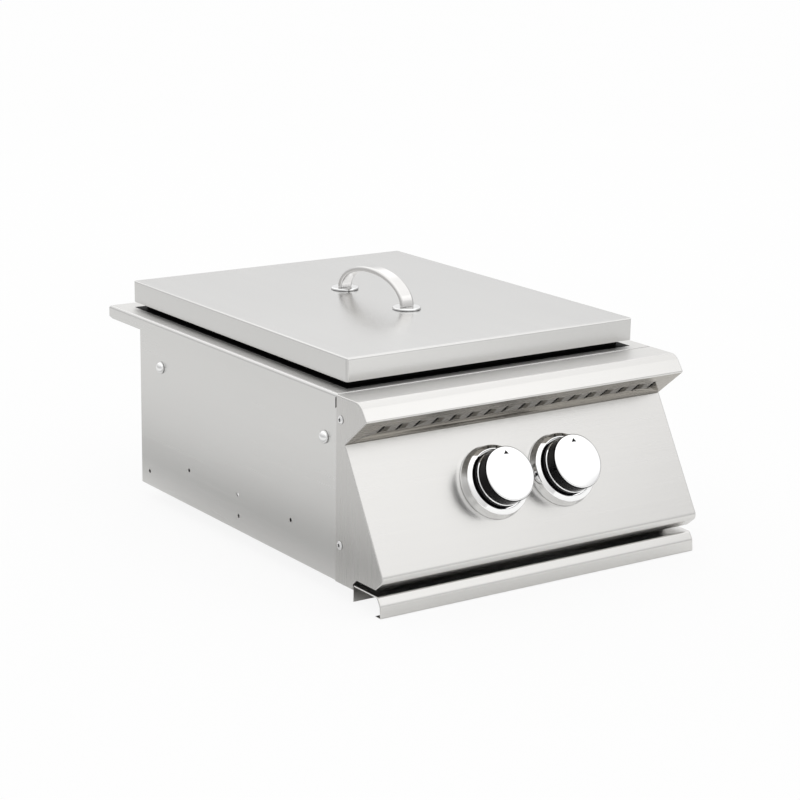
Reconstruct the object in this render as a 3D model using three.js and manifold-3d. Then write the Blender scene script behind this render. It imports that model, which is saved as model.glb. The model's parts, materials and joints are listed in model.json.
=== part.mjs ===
// A slide-in double side burner for an outdoor kitchen, closed, with its lid on.
// Millimetres, +Z up, +X to the right, +Y to the rear. While it is built, x = 0 is the
// middle, y = 0 the crease under the visor, and z = 0 the lower edge of the side panels.
// The finished group stands with its origin at the bottom centre of its box.

import * as THREE from 'three';
import { mergeVertices } from 'three/addons/utils/BufferGeometryUtils.js';
import Module from 'manifold-3d';

const wasm = await Module();
wasm.setup();

// Sheet, fits and smoothness
const sheet = 1.0;
const fit = 0.3;
const overrun = 4;
const bendRadius = 3;
const weldTolerance = 0.0001;
const arcStep = Math.PI / 10;
const fineSides = 28;
const roundSides = 16;
const smallSides = 8;
const wireSides = 8;
const hexSides = 6;
const domeSteps = 3;

// Body
const bodyWidth = 343;
const bodyRear = 363.3;
const seamY = 13.5;
const deckTop = 164.6;
const cheekLap = 11;

// Deck
const deckOverhang = 61;
const flangeDrop = 12.4;
const flangeSetback = 1.8;
const deckCornerLength = 6.3;
const deckCornerRise = 1.5;
const collarHeight = 17.9;

// Lid, and the frame welded inside it that rests on the burner tray's rim
const lidSideMargin = 16.2;
const lidFrontMargin = 9.4;
const lidRearMargin = 21.1;
const lidAboveDeck = 26.4;
const lidHeight = 20.7;
const lidRadius = 3.5;
const collarInset = 8.6;
const frameFlange = 12;
const frameLegGap = 0.6;
const frameLegDrop = 4;

// Lid handle
const handleSpan = 105;
const handleRise = 30;
const handleWidth = 14;
const handleThickness = 5;
const handleEdge = 1.2;
const handleSteps = 16;
const rosetteRadius = 13.3;
const rosetteThickness = 1.8;
const handleScrewRadius = 1.5;
const handleScrewDepth = 3.5;
const handleScrewHead = 3.6;
const handleScrewHeadHeight = 2.2;

// Fascia: a strip a little below the deck, visor, control panel and bottom return
const stripStep = 0.6;
const noseY = -21.6;
const noseRadius = 8;
const lipY = -32.2;
const lipZ = 149.5;
const lipRadius = 1.6;
const creaseZ = 123.6;
const creaseRadius = 1.4;
const panelTilt = 29.9 * Math.PI / 180;
const returnZ = 7.5;
const returnRadius = 13;
const returnEndY = -19;
const cheekStepY = -12;

// Slots in the visor
const slotCount = 17;
const slotEndMargin = 24.45;
const slotLength = 12.7;
const slotWidth = 2.8;
const slotFromCrease = 22;
const slotArcSteps = 2;

// Bottom rail
const railRearY = -14;
const railTop = 4.3;
const railFrontY = -54.7;
const railToeY = -56.3;
const railBottom = -13.7;
const railLipY = -48.3;
const railLegBottom = -10.3;
const railFrontRadius = 9;
const railRearRadius = 1.5;

// Side bolts, rivets and pilot holes
const boltFrontMargin = 20.1;
const boltRearMargin = 41.5;
const boltZ = 122.7;
const boltRadius = 3;
const boltHead = 5.8;
const boltHeadHeight = 4.5;
const boltReach = 9;
const nutRadius = 5.6;
const nutHeight = 4.4;
const rivetY = 6.8;
const rivetZs = [33.7, 143.7];
const rivetRadius = 1.6;
const rivetHead = 3.8;
const rivetHeadHeight = 1.1;
const rivetRecess = 1;
const rivetTail = 2.6;
const pilotRadius = 1.8;
const pilotHoles = [[347.6, 14.2], [269.6, 34.2], [179.9, 33.9], [178.3, 13.7], [88.3, 34.1]];

// Floor and rear panels
const floorFlange = 12;
const floorFlangeStart = 16;
const floorLipDrop = 9.5;
const floorOpeningHalf = 140;
const floorOpenings = [[36, 170], [196, 340]];
const rearFlange = 12;
const rearSlotCount = 8;
const rearSlotPitch = 34;
const rearSlotLength = 24;
const rearSlotWidth = 3.6;
const rearSlotZs = [92, 104];

// Cross bars and burner carrier
const barWidth = 20;
const barHeight = 20;
const barSheet = 1.5;
const barAboveBolt = 8;
const carrierHalfWidth = 24;
const carrierEdge = 6;
const carrierOverhang = 8;
const barToOrifice = 5.45;

// Burner tray
const trayDrop = 11.6;
const trayRimLap = 1.5;

// Burners
const burnerPitch = 176;
const throatRadius = 14;
const throatBore = 9.5;
const throatFloor = 4.7;
const tubeWall = 2;
const airPortLength = 8;
const airPortHeight = 9;
const airPortSetback = 5;
const bowlRadius = 44;
const bowlHeight = 6.7;
const bowlWall = 7;
const bowlFloor = 2.2;
const pegRadius = 4;
const pegDrop = 3.5;
const ringRadius = 45;
const ringWall = 11;
const ringHeight = 7.2;
const portCount = 14;
const portWidth = 2.2;
const portDepth = 3;
const capInset = 1.5;
const capEdge = 1.5;
const capSlope = 3.5;
const capRise = 2;
const capCrown = 0.7;
const capLipHeight = 2.5;
const capLipWall = 3.4;

// Pot supports
const supportAboveRim = 0.7;
const supportBar = 8;
const supportDepth = 9;
const supportGap = 7.4;
const fingerRadius = 24;

// Orifice elbows
const orificeSize = 14;
const orificeGap = 3;
const nozzleRadius = 3.5;
const nozzleReach = 9;
const nozzleBore = 1.2;
const spigotRadius = 5;
const spigotDrop = 10;

// Controls, along the axis that leaves the sloped panel at a right angle
const knobX = 36.8;
const knobDownPanel = 54;
const knobTravel = 3.5;
const bezelRadius = 33.1;
const bezelEdge = 2.2;
const bezelRimRadius = 31.3;
const bezelRimHeight = 9.2;
const bezelCrestHeight = 11.2;
const bezelFloor = 1.2;
const knobRadius = 24.7;
const knobFace = 29.2;
const knobCrown = 0.4;
const knobEdge = 1.3;
const knobSkirt = 0.8;
const knobSkirtHeight = 10.4;
const knobGap = 1.1;
const knobWall = 3.1;
const knobBoreRoof = 7;
const stemRadius = 3;
const stemFlat = 2.1;
const stemEngaged = 13.7;
const stemCollarThickness = 2.2;
const valveWall = 3.7;
const neckRadius = 8;
const valveNutRadius = 11.5;
const valveNutHeight = 2.8;
const shoulderRadius = 14;
const shoulderThickness = 3;
const springRadius = 4.9;
const springWire = 0.6;
const springLength = 8;
const springTurns = 4;
const springSides = 5;
const plugRadius = 8;
const plugLength = 20;
const outletRadius = 5;
const outletBore = 2.5;
const outletLength = 12;
const inletRadius = 7;
const inletBore = 3;
const piezoHalfWidth = 9;
const piezoHigh = 27;
const piezoDepth = 28;

// Gas manifold, inlet elbow, gas tubes and igniter leads
const manifoldSize = 20;
const manifoldWall = 2;
const manifoldDrop = 27;
const manifoldLeft = 54;
const manifoldRight = 95;
const elbowSize = 22;
const inletSpigotRadius = 10.5;
const inletSpigotLength = 26;
const inletSpigotBore = 7;
const gasTubeRadius = 4;
const gasTubeStub = 13;
const gasTubeBendZ = 72;
const gasTubeLowZ = 38;
const gasTubeSide = 30;
const leadRadius = 1.3;
const leadStub = 16;
const leadSag = 7;
const leadLowZ = 70;
const leadSide = 60;
const routeSteps = 20;

// Spark electrodes
const electrodeOffset = 37.5;
const ceramicRadius = 4;
const ceramicDrop = 17;
const ceramicAboveBowl = 5;
const ceramicFlange = 6;
const ceramicFlangeHeight = 2.6;
const pinRadius = 1.1;
const pinHeight = 5.5;
const pinReach = 5;

// Places worked out from the sizes above
const halfBody = bodyWidth / 2;
const deckRear = bodyRear + deckOverhang;
const lidFront = seamY + lidFrontMargin;
const lidRear = deckRear - lidRearMargin;
const slotSpan = bodyWidth - slotEndMargin * 2;
const boltYs = [seamY + boltFrontMargin, bodyRear - boltRearMargin];
const deckFront = seamY + fit;
const deckUnderside = deckTop - sheet;
const stripTop = deckTop - stripStep;
const flangeBottom = deckTop - flangeDrop;
const sideOuter = halfBody - sheet - fit;
const sideInner = sideOuter - sheet;
const innerHalf = sideInner - fit;
const sideFront = seamY - cheekLap;
const sideTop = deckTop - bendRadius;
const rearFace = bodyRear - sheet;
const floorFront = railRearY + fit;
const floorRear = rearFace - fit;
const lidHalf = halfBody - lidSideMargin;
const lidTop = deckTop + lidAboveDeck;
const lidBottom = lidTop - lidHeight;
const lidUnderside = lidTop - sheet;
const lidMiddle = (lidFront + lidRear) / 2;
const handleBottom = lidTop + rosetteThickness + fit * 2;
const collarTop = deckTop + collarHeight;
const rimBottom = collarTop + fit;
const rimTop = rimBottom + sheet;
const trayInset = sheet + fit;
const trayBottom = deckTop - trayDrop;
const trayFloor = trayBottom + sheet;
const barTop = boltZ + barAboveBolt;
const barBottom = barTop - barHeight;
const carrierBottom = barTop + fit;
const carrierTop = carrierBottom + sheet;
const burnerYs = [lidMiddle - burnerPitch / 2, lidMiddle + burnerPitch / 2];
const tubeLength = burnerYs[0] - boltYs[0] - barWidth / 2 - barToOrifice - orificeSize - orificeGap;
const baseBottom = carrierTop + fit;
const tubeZ = (baseBottom + trayBottom) / 2;
const tubeRadius = (trayBottom - baseBottom) / 2 - fit;
const bowlBottom = trayFloor + fit;
const bowlTop = bowlBottom + bowlHeight;
const ringBottom = bowlTop + fit;
const ringInner = ringRadius - ringWall;
const capBottom = ringBottom + ringHeight + fit;
const supportTop = rimTop + supportAboveRim;
const supportHalfDepth = (burnerPitch - supportGap) / 2;
const orificeBack = tubeLength + orificeGap + orificeSize / 2;
const spigotEnd = baseBottom - spigotDrop;
const ceramicBottom = trayBottom - ceramicDrop;
const ceramicTop = bowlTop + ceramicAboveBowl;
const electrodeXs = [-electrodeOffset, electrodeOffset];

// Places along the control axis
const bezelTop = fit + bezelFloor;
const neckTop = bezelTop + fit + valveNutHeight;
const knobBase = bezelTop + knobTravel + knobGap;
const knobRecessTop = knobBase + valveNutHeight + fit;
const knobBoreTop = knobFace - knobBoreRoof;
const stemTop = knobBoreTop - fit * 2;
const bezelInnerRadius = knobRadius + knobSkirt + knobGap;
const shoulderTop = -sheet - fit;
const springRoomTop = shoulderTop - valveWall;
const springRoomRadius = springRadius + springWire + fit * 4;
const stemCollarTop = springRoomTop - fit;
const springTop = stemCollarTop - stemCollarThickness - fit - springWire;
const springRoomBottom = springTop - springLength - springWire - knobTravel - fit;
const plugRoomTop = springRoomBottom - valveWall / 2;
const plugTop = plugRoomTop - fit;
const plugBottom = plugTop - plugLength;
const plugRoomBottom = plugBottom - fit;
const stemBottom = plugTop - stemEngaged;
const valveBottom = plugRoomBottom - valveWall;
const valveRadius = plugRadius + fit + valveWall;
const outletEnd = valveBottom - outletLength;
const inletZ = (plugTop + plugBottom) / 2;

// Shapes

// A closed three.js geometry, or a solid made before, as a solid to join and cut.
function asSolid(shape) {
  if (!shape.isBufferGeometry) return shape;
  const bare = shape.clone();
  bare.deleteAttribute('normal');
  bare.deleteAttribute('uv');
  const merged = mergeVertices(bare, weldTolerance);
  const vertProperties = new Float32Array(merged.attributes.position.array);
  const triVerts = new Uint32Array(merged.index.array);
  const solid = new wasm.Manifold(new wasm.Mesh({ numProp: 3, vertProperties, triVerts }));
  if (solid.volume() > 0) return solid;
  triVerts.reverse();
  return new wasm.Manifold(new wasm.Mesh({ numProp: 3, vertProperties, triVerts }));
}

function join(...shapes) {
  return shapes.map(asSolid).reduce((whole, next) => whole.add(next));
}

function cut(shape, ...cutters) {
  return cutters.map(asSolid).reduce((whole, next) => whole.subtract(next), asSolid(shape));
}

// A box between two values on each axis.
function block([x0, x1], [y0, y1], [z0, z1]) {
  const geometry = new THREE.BoxGeometry(Math.abs(x1 - x0), y1 - y0, z1 - z0);
  return geometry.translate((x0 + x1) / 2, (y0 + y1) / 2, (z0 + z1) / 2);
}

// A round bar from one point to another.
function bar(radius, from, to, sides = roundSides) {
  const start = new THREE.Vector3(...from);
  const along = new THREE.Vector3(...to).sub(start);
  const geometry = new THREE.CylinderGeometry(radius, radius, along.length(), sides);
  const turn = new THREE.Quaternion().setFromUnitVectors(
    new THREE.Vector3(0, 1, 0), along.clone().normalize());
  const middle = start.addScaledVector(along, 1 / 2);
  return geometry.applyQuaternion(turn).translate(middle.x, middle.y, middle.z);
}

// A round bar standing on the Z axis, or on a parallel one.
function post(radius, [z0, z1], sides = roundSides, [x, y] = [0, 0]) {
  return bar(radius, [x, y, z0], [x, y, z1], sides);
}

// A body of revolution about Z, from [radius, height] points.
function turned(profile, sides = roundSides) {
  const points = profile.map(([radius, height]) => new THREE.Vector2(radius, height));
  return new THREE.LatheGeometry(points, sides).rotateX(Math.PI / 2);
}

// A domed head that stands on z = 0.
function domed(radius, height, sides) {
  const arc = Array.from({ length: domeSteps }, (unused, step) => {
    const angle = step / domeSteps * Math.PI / 2;
    return [radius * Math.cos(angle), height * Math.sin(angle)];
  });
  return turned([[0, 0], ...arc, [0, height]], sides);
}

function outlineShape(outline) {
  return new THREE.Shape(outline.map(([a, b]) => new THREE.Vector2(a, b)));
}

// Straight prisms of an outline: across the width, and along the depth.
function prismX(outline, x0, x1) {
  const basis = new THREE.Matrix4().makeBasis(
    new THREE.Vector3(0, 1, 0), new THREE.Vector3(0, 0, 1), new THREE.Vector3(1, 0, 0));
  const geometry = new THREE.ExtrudeGeometry(outlineShape(outline),
    { depth: x1 - x0, bevelEnabled: false });
  return geometry.applyMatrix4(basis).translate(x0, 0, 0);
}

function prismY(outline, y0, y1) {
  const geometry = new THREE.ExtrudeGeometry(outlineShape(outline),
    { depth: y1 - y0, bevelEnabled: false });
  return geometry.rotateX(Math.PI / 2).translate(0, y1, 0);
}

// A path of [a, b] or [a, b, radius] corners, with those corners rounded.
function rounded(corners) {
  return corners.flatMap(([a, b, radius = 0], index) => {
    if (radius === 0) return [[a, b]];
    const corner = new THREE.Vector2(a, b);
    const [before, after] = [corners[index - 1], corners[index + 1]]
      .map(([c, d]) => new THREE.Vector2(c, d).sub(corner).normalize());
    const half = Math.acos(before.dot(after)) / 2;
    const start = corner.clone().addScaledVector(before, radius / Math.tan(half));
    const end = corner.clone().addScaledVector(after, radius / Math.tan(half));
    const inward = before.clone().add(after).normalize();
    const centre = corner.clone().addScaledVector(inward, radius / Math.sin(half));
    const from = start.sub(centre).angle();
    const to = end.sub(centre).angle();
    const sweep = Math.atan2(Math.sin(to - from), Math.cos(to - from));
    const steps = Math.ceil(Math.abs(sweep) / arcStep);
    return Array.from({ length: steps + 1 }, (unused, step) => {
      const angle = from + sweep * step / steps;
      return [centre.x + radius * Math.cos(angle), centre.y + radius * Math.sin(angle)];
    });
  });
}

// The same path moved to its left by a distance.
function offset(path, distance) {
  const normals = path.slice(1).map(([a, b], index) => {
    const [c, d] = path[index];
    return new THREE.Vector2(d - b, a - c).normalize();
  });
  return path.map(([a, b], index) => {
    const before = normals[Math.max(index - 1, 0)];
    const after = normals[Math.min(index, normals.length - 1)];
    const mitre = before.clone().add(after);
    mitre.multiplyScalar(distance * 2 / mitre.lengthSq());
    return [a + mitre.x, b + mitre.y];
  });
}

// A sheet folded along a path of [y, z] points, with the path as its outer face.
function foldedSheet(path, halfWidth) {
  return prismX([...path, ...offset(path, sheet).reverse()], -halfWidth, halfWidth);
}

// A block whose upper edges are rounded as folded sheet is.
function foldedBlock([x0, x1], [y0, y1], [z0, z1], radius, frontRadius = radius) {
  const across = rounded([[x0, z0], [x0, z1, radius], [x1, z1, radius], [x1, z0]]);
  const along = rounded([[y0, z0], [y0, z1, frontRadius], [y1, z1, radius], [y1, z0]]);
  return asSolid(prismY(across, y0, y1)).intersect(asSolid(prismX(along, x0, x1)));
}

// A block that keeps a margin inside the lid's outline, and a rectangular ring of two such.
function underLid(margin, zs) {
  return block([margin - lidHalf, lidHalf - margin], [lidFront + margin, lidRear - margin], zs);
}

function ringUnderLid(margin, innerMargin, [z0, z1]) {
  return cut(underLid(margin, [z0, z1]), underLid(innerMargin, [z0 - overrun, z1 + overrun]));
}

// A regular outline round an axis, for the section of a wire or a tube.
function roundSection(radius, sides) {
  return outlineShape(Array.from({ length: sides }, (unused, side) => {
    const angle = side * 2 * Math.PI / sides;
    return [radius * Math.cos(angle), radius * Math.sin(angle)];
  }));
}

// A tube that follows a smooth line through some points.
function tubeAlong(points, radius) {
  const extrudePath = new THREE.CatmullRomCurve3(points, false, 'centripetal');
  return new THREE.ExtrudeGeometry(roundSection(radius, wireSides), { steps: routeSteps, extrudePath });
}

// A name, a shape and its finish make one piece.
function piece(name, shape, { color, roughness, metalness }) {
  const { vertProperties, triVerts } = asSolid(shape).getMesh();
  const geometry = new THREE.BufferGeometry();
  geometry.setAttribute('position', new THREE.BufferAttribute(vertProperties, 3));
  geometry.setIndex(new THREE.BufferAttribute(triVerts, 1));
  const mesh = new THREE.Mesh(geometry,
    new THREE.MeshStandardMaterial({ color, roughness, metalness, flatShading: true }));
  mesh.name = name;
  return mesh;
}

// A piece or a group moved to its place and turned about Y.
function placed(object, [x, y, z], turnY = 0) {
  object.position.set(x, y, z);
  object.rotation.y = turnY;
  return object;
}

function group(...objects) {
  return new THREE.Group().add(...objects);
}

// Finishes
const brushed = { color: 0xd2d0cc, roughness: 0.34, metalness: 1 };
const insideSteel = { color: 0xb4b2ae, roughness: 0.45, metalness: 1 };
const chrome = { color: 0xe6e6e6, roughness: 0.06, metalness: 1 };
const zinc = { color: 0xb8bcc0, roughness: 0.35, metalness: 1 };
const brass = { color: 0xc9a24e, roughness: 0.3, metalness: 1 };
const castAluminium = { color: 0xa8a9aa, roughness: 0.5, metalness: 1 };
const castIron = { color: 0x2c2c2d, roughness: 0.62, metalness: 0.6 };
const whiteCeramic = { color: 0xeeeae0, roughness: 0.3, metalness: 0 };
const redSilicone = { color: 0x8c2f2a, roughness: 0.6, metalness: 0 };

// Deck

function deck() {
  const below = [flangeBottom - overrun, deckUnderside];
  const plate = cut(
    foldedBlock([-halfBody, halfBody], [deckFront, deckRear], [flangeBottom, deckTop], bendRadius, 0),
    foldedBlock([sheet - halfBody, halfBody - sheet], [deckFront - overrun, deckRear - sheet],
      below, bendRadius - sheet, 0));
  const acrossAll = [-halfBody - overrun, halfBody + overrun];
  const frontNotch = block(acrossAll, [deckFront - overrun, seamY + flangeSetback],
    [flangeBottom - overrun, deckTop - bendRadius]);
  const rearCorner = prismX([
    [deckRear - deckCornerLength, flangeBottom],
    [deckRear - deckCornerLength, flangeBottom - overrun],
    [deckRear + overrun, flangeBottom - overrun],
    [deckRear + overrun, flangeBottom + deckCornerRise],
    [deckRear, flangeBottom + deckCornerRise],
  ], ...acrossAll);
  const collarMargin = sheet + collarInset;
  const collar = underLid(collarMargin, [deckUnderside, collarTop]);
  const opening = underLid(collarMargin + sheet, [flangeBottom, collarTop + overrun]);
  return piece('deck', cut(join(cut(plate, frontNotch, rearCorner), collar), opening), brushed);
}

// Lid and its handle

const handleFeet = [['front', lidMiddle - handleSpan / 2], ['rear', lidMiddle + handleSpan / 2]];

function lidShell() {
  const skin = cut(
    foldedBlock([-lidHalf, lidHalf], [lidFront, lidRear], [lidBottom, lidTop], lidRadius),
    foldedBlock([sheet - lidHalf, lidHalf - sheet], [lidFront + sheet, lidRear - sheet],
      [lidBottom - overrun, lidUnderside], lidRadius - sheet));
  const holes = handleFeet.map(([, y]) => post(handleScrewRadius + fit,
    [lidUnderside - overrun, lidTop + overrun], smallSides, [0, y]));
  return piece('lid_shell', cut(skin, ...holes), brushed);
}

// The frame steps in under its top flange, stands on the rim and reaches into the tray.
function lidFrame() {
  const outer = sheet + collarInset;
  const leg = outer + sheet + trayInset + frameLegGap;
  const top = lidUnderside - fit;
  const foot = rimTop + fit;
  return piece('lid_frame', join(
    ringUnderLid(outer, outer + frameFlange, [top - sheet, top]),
    ringUnderLid(outer, outer + sheet, [foot, top]),
    ringUnderLid(outer, leg + sheet, [foot, foot + sheet]),
    ringUnderLid(leg, leg + sheet, [foot - frameLegDrop, foot + sheet])), insideSteel);
}

// Half an ellipse from one foot to the other, seen from the side.
function archPoints(halfSpan, rise) {
  return Array.from({ length: handleSteps + 1 }, (unused, step) => {
    const angle = Math.PI * step / handleSteps;
    return [halfSpan * Math.cos(angle), rise * Math.sin(angle)];
  });
}

function lidHandle() {
  const rise = lidTop + handleRise - handleBottom;
  const outer = archPoints((handleSpan + handleThickness) / 2, rise);
  const inner = archPoints((handleSpan - handleThickness) / 2, rise - handleThickness);
  const basis = new THREE.Matrix4().makeBasis(
    new THREE.Vector3(0, 1, 0), new THREE.Vector3(0, 0, 1), new THREE.Vector3(1, 0, 0));
  const bow = new THREE.ExtrudeGeometry(outlineShape([...outer, ...inner.reverse()]), {
    depth: handleWidth - handleEdge * 2,
    bevelThickness: handleEdge,
    bevelSize: handleEdge,
    bevelOffset: -handleEdge,
    bevelSegments: 1,
  }).translate(0, 0, handleEdge - handleWidth / 2).applyMatrix4(basis);
  const bores = [-handleSpan / 2, handleSpan / 2].map((y) => post(handleScrewRadius + fit / 2,
    [-overrun, handleScrewDepth], smallSides, [0, y]));
  return placed(piece('lid_handle', cut(bow, ...bores), chrome), [0, lidMiddle, handleBottom]);
}

function rosette(name) {
  const half = rosetteThickness / 2;
  const disc = turned([[0, 0], [rosetteRadius, 0], [rosetteRadius, half],
    [rosetteRadius - half, rosetteThickness], [0, rosetteThickness]], roundSides * 2);
  const hole = post(handleScrewRadius + fit, [-overrun, rosetteThickness + overrun], smallSides);
  return piece(name, cut(disc, hole), chrome);
}

// A screw that stands on the top face of its head, upside down under the lid.
function handleScrew(name) {
  const tip = handleBottom + handleScrewDepth - fit - lidUnderside;
  return piece(name, join(
    post(handleScrewHead, [-fit - handleScrewHeadHeight, -fit]),
    post(handleScrewRadius, [-fit - handleScrewHeadHeight / 2, tip], smallSides)), zinc);
}

// Side panels, fascia, cheeks and rail

function sidePanel(name, side) {
  const [inner, outer] = [side * sideInner, side * sideOuter];
  const panel = block([inner, outer], [sideFront, bodyRear], [0, sideTop]);
  const hole = (radius, y, z) => bar(radius, [inner - side * overrun, y, z],
    [outer + side * overrun, y, z], smallSides);
  return piece(name, cut(panel,
    ...boltYs.map((y) => hole(boltRadius + fit, y, boltZ)),
    ...rivetZs.map((z) => hole(rivetRadius + fit, rivetY, z)),
    ...pilotHoles.map(([y, z]) => hole(pilotRadius, y, z))), brushed);
}

const fasciaPath = rounded([
  [seamY, stripTop],
  [noseY, stripTop, noseRadius],
  [lipY, lipZ, lipRadius],
  [0, creaseZ, creaseRadius],
  [-(creaseZ - returnZ) * Math.tan(panelTilt), returnZ, returnRadius],
  [returnEndY, returnZ],
]);
const knobY = -knobDownPanel * Math.sin(panelTilt);
const knobZ = creaseZ - knobDownPanel * Math.cos(panelTilt);
const panelTurn = Math.PI / 2 - panelTilt;

// A point given along the panel's width, up its slope and out of it.
function panelPoint(x, up, out) {
  const point = new THREE.Vector3(0, up, out).applyAxisAngle(new THREE.Vector3(1, 0, 0), panelTurn);
  return point.add(new THREE.Vector3(x, knobY, knobZ));
}

function fascia() {
  const underTilt = Math.atan2(lipZ - creaseZ, -lipY);
  const slotHalf = (slotLength - slotWidth) / 2;
  const outline = new THREE.Shape()
    .absarc(0, slotHalf, slotWidth / 2, 0, Math.PI)
    .absarc(0, -slotHalf, slotWidth / 2, Math.PI, Math.PI * 2);
  const slots = Array.from({ length: slotCount }, (unused, index) => new THREE.ExtrudeGeometry(
    outline, { depth: overrun * 2, bevelEnabled: false, curveSegments: slotArcSteps })
    .translate(0, 0, -overrun)
    .rotateX(-underTilt)
    .translate(slotSpan * (index / (slotCount - 1) - 1 / 2), -slotFromCrease * Math.cos(underTilt),
      creaseZ + slotFromCrease * Math.sin(underTilt)));
  const valveHoles = [-knobX, knobX].map((x) => post(neckRadius + fit, [-overrun, overrun])
    .rotateX(panelTurn).translate(x, knobY, knobZ));
  return piece('fascia', cut(foldedSheet(fasciaPath, halfBody), ...slots, ...valveHoles), brushed);
}

function cheek(name, side) {
  const outline = [...offset(fasciaPath, sheet + fit),
    [cheekStepY, returnZ + sheet + fit], [cheekStepY, 0], [seamY, 0]];
  const [inner, outer] = [halfBody - sheet, halfBody];
  const plate = side < 0 ? prismX(outline, -outer, -inner) : prismX(outline, inner, outer);
  const holes = rivetZs.map((z) => bar(rivetRadius + fit, [side * inner - side * overrun, rivetY, z],
    [side * outer + side * overrun, rivetY, z], smallSides));
  return piece(name, cut(plate, ...holes), brushed);
}

function bottomRail() {
  const path = rounded([
    [railRearY, railLegBottom],
    [railRearY, railTop, railRearRadius],
    [railFrontY, railTop, railFrontRadius],
    [railToeY, railBottom, railRearRadius],
    [railLipY, railBottom],
  ]);
  return piece('bottom_rail', foldedSheet(path, halfBody), brushed);
}

// Bolts and rivets, built along +Z from the face that their heads rest on

function sideBolt(name) {
  return piece(name, join(domed(boltHead, boltHeadHeight, roundSides),
    post(boltRadius, [-boltReach, boltHeadHeight / 2], smallSides)), chrome);
}

function cheekRivet(name) {
  const grip = fit + sheet + fit + sheet + fit;
  return piece(name, cut(join(
    domed(rivetHead, rivetHeadHeight, roundSides),
    post(rivetRadius, [-grip - rivetTail, rivetHeadHeight / 2], smallSides),
    post(rivetTail, [-grip - rivetTail, -grip], smallSides)),
  post(rivetRecess, [0, rivetHeadHeight + overrun], wireSides)), zinc);
}

function sideFasteners() {
  const corners = (places, build, x) => [['left', -1], ['right', 1]].flatMap(([hand, side]) => places.map(
    ([place, y, z]) => placed(build(`${place}_${hand}`), [side * x, y, z], side * Math.PI / 2)));
  return group(
    ...corners([['front', boltYs[0], boltZ], ['rear', boltYs[1], boltZ]],
      (place) => sideBolt(`side_bolt_${place}`), sideOuter + fit),
    ...corners([['bottom', rivetY, rivetZs[0]], ['top', rivetY, rivetZs[1]]],
      (place) => cheekRivet(`cheek_rivet_${place}`), halfBody + fit));
}

// Floor and rear panels

function floorPanel() {
  const widths = [-innerHalf, innerHalf];
  const flanges = cut(
    block(widths, [floorFlangeStart, floorRear], [0, sheet + floorFlange]),
    block([sheet - innerHalf, innerHalf - sheet], [floorFlangeStart - overrun, floorRear + overrun],
      [sheet, sheet + floorFlange + overrun]));
  const openings = floorOpenings.map((ys) => block([-floorOpeningHalf, floorOpeningHalf], ys,
    [-overrun, sheet + overrun]));
  return piece('floor_panel', cut(join(
    block(widths, [floorFront, floorRear], [0, sheet]),
    block(widths, [floorFront, floorFront + sheet], [-floorLipDrop, sheet]),
    flanges), ...openings), insideSteel);
}

function rearPanel() {
  const notchHalf = lidHalf - sheet - collarInset + fit;
  const notchBottom = trayBottom - fit;
  const plate = cut(
    block([-innerHalf, innerHalf], [rearFace, bodyRear], [0, sideTop]),
    block([-notchHalf, notchHalf], [rearFace - overrun, bodyRear + overrun],
      [notchBottom, sideTop + overrun]));
  const flanges = [-innerHalf, innerHalf - sheet].map((x) => block([x, x + sheet],
    [rearFace - rearFlange, bodyRear], [sheet + floorFlange + fit, sideTop]));
  const slots = rearSlotZs.flatMap((z) => Array.from({ length: rearSlotCount }, (unused, index) => {
    const x = rearSlotPitch * (index - (rearSlotCount - 1) / 2);
    return block([x - rearSlotLength / 2, x + rearSlotLength / 2],
      [rearFace - overrun, bodyRear + overrun], [z - rearSlotWidth / 2, z + rearSlotWidth / 2]);
  }));
  return piece('rear_panel', cut(join(plate, ...flanges), ...slots), brushed);
}

// Burner tray, cross bars and burner carrier

function burnerTray() {
  const collar = sheet + collarInset;
  const wall = collar + sheet + fit;
  const pan = cut(underLid(wall, [trayBottom, rimTop]),
    underLid(wall + sheet, [trayFloor, rimTop + overrun]));
  const rim = ringUnderLid(collar - trayRimLap, wall + sheet / 2, [rimBottom, rimTop]);
  const floor = [trayBottom - overrun, trayFloor + overrun];
  const throats = burnerYs.map((y) => post(throatRadius + fit, floor, roundSides, [0, y]));
  const ceramics = burnerYs.map((y, index) => post(ceramicRadius + fit, floor, smallSides,
    [electrodeXs[index], y - electrodeOffset]));
  return piece('burner_tray', cut(join(pan, rim), ...throats, ...ceramics), insideSteel);
}

// A channel with closed ends and a nut welded inside each of them.
function crossBar(name) {
  const [half, end] = [barWidth / 2, innerHalf - barSheet];
  const channel = cut(
    block([-innerHalf, innerHalf], [-half, half], [barBottom, barTop]),
    block([-end, end], [barSheet - half, half - barSheet], [barBottom - overrun, barTop - barSheet]));
  const nuts = [-1, 1].map((side) => bar(nutRadius, [side * (end + barSheet / 2), 0, boltZ],
    [side * (end - nutHeight), 0, boltZ], hexSides));
  const bores = [-1, 1].map((side) => bar(boltRadius + fit, [side * (innerHalf + overrun), 0, boltZ],
    [side * (end - nutHeight - overrun), 0, boltZ], smallSides));
  return piece(name, cut(join(channel, ...nuts), ...bores), insideSteel);
}

function burnerCarrier() {
  const ys = [boltYs[0] - carrierOverhang, boltYs[1] + carrierOverhang];
  const inside = carrierHalfWidth - sheet;
  const trough = cut(
    block([-carrierHalfWidth, carrierHalfWidth], ys, [carrierBottom, carrierTop + carrierEdge]),
    block([-inside, inside], [ys[0] - overrun, ys[1] + overrun],
      [carrierTop, carrierTop + carrierEdge + overrun]));
  const hole = (radius, y) => post(radius + fit, [carrierBottom - overrun, carrierTop + overrun],
    roundSides, [0, y]);
  return piece('burner_carrier', cut(trough,
    ...burnerYs.map((y) => hole(pegRadius, y)),
    ...burnerYs.map((y) => hole(spigotRadius, y - orificeBack))), insideSteel);
}

// Burners, each round the axis x = 0, y = 0

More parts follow.
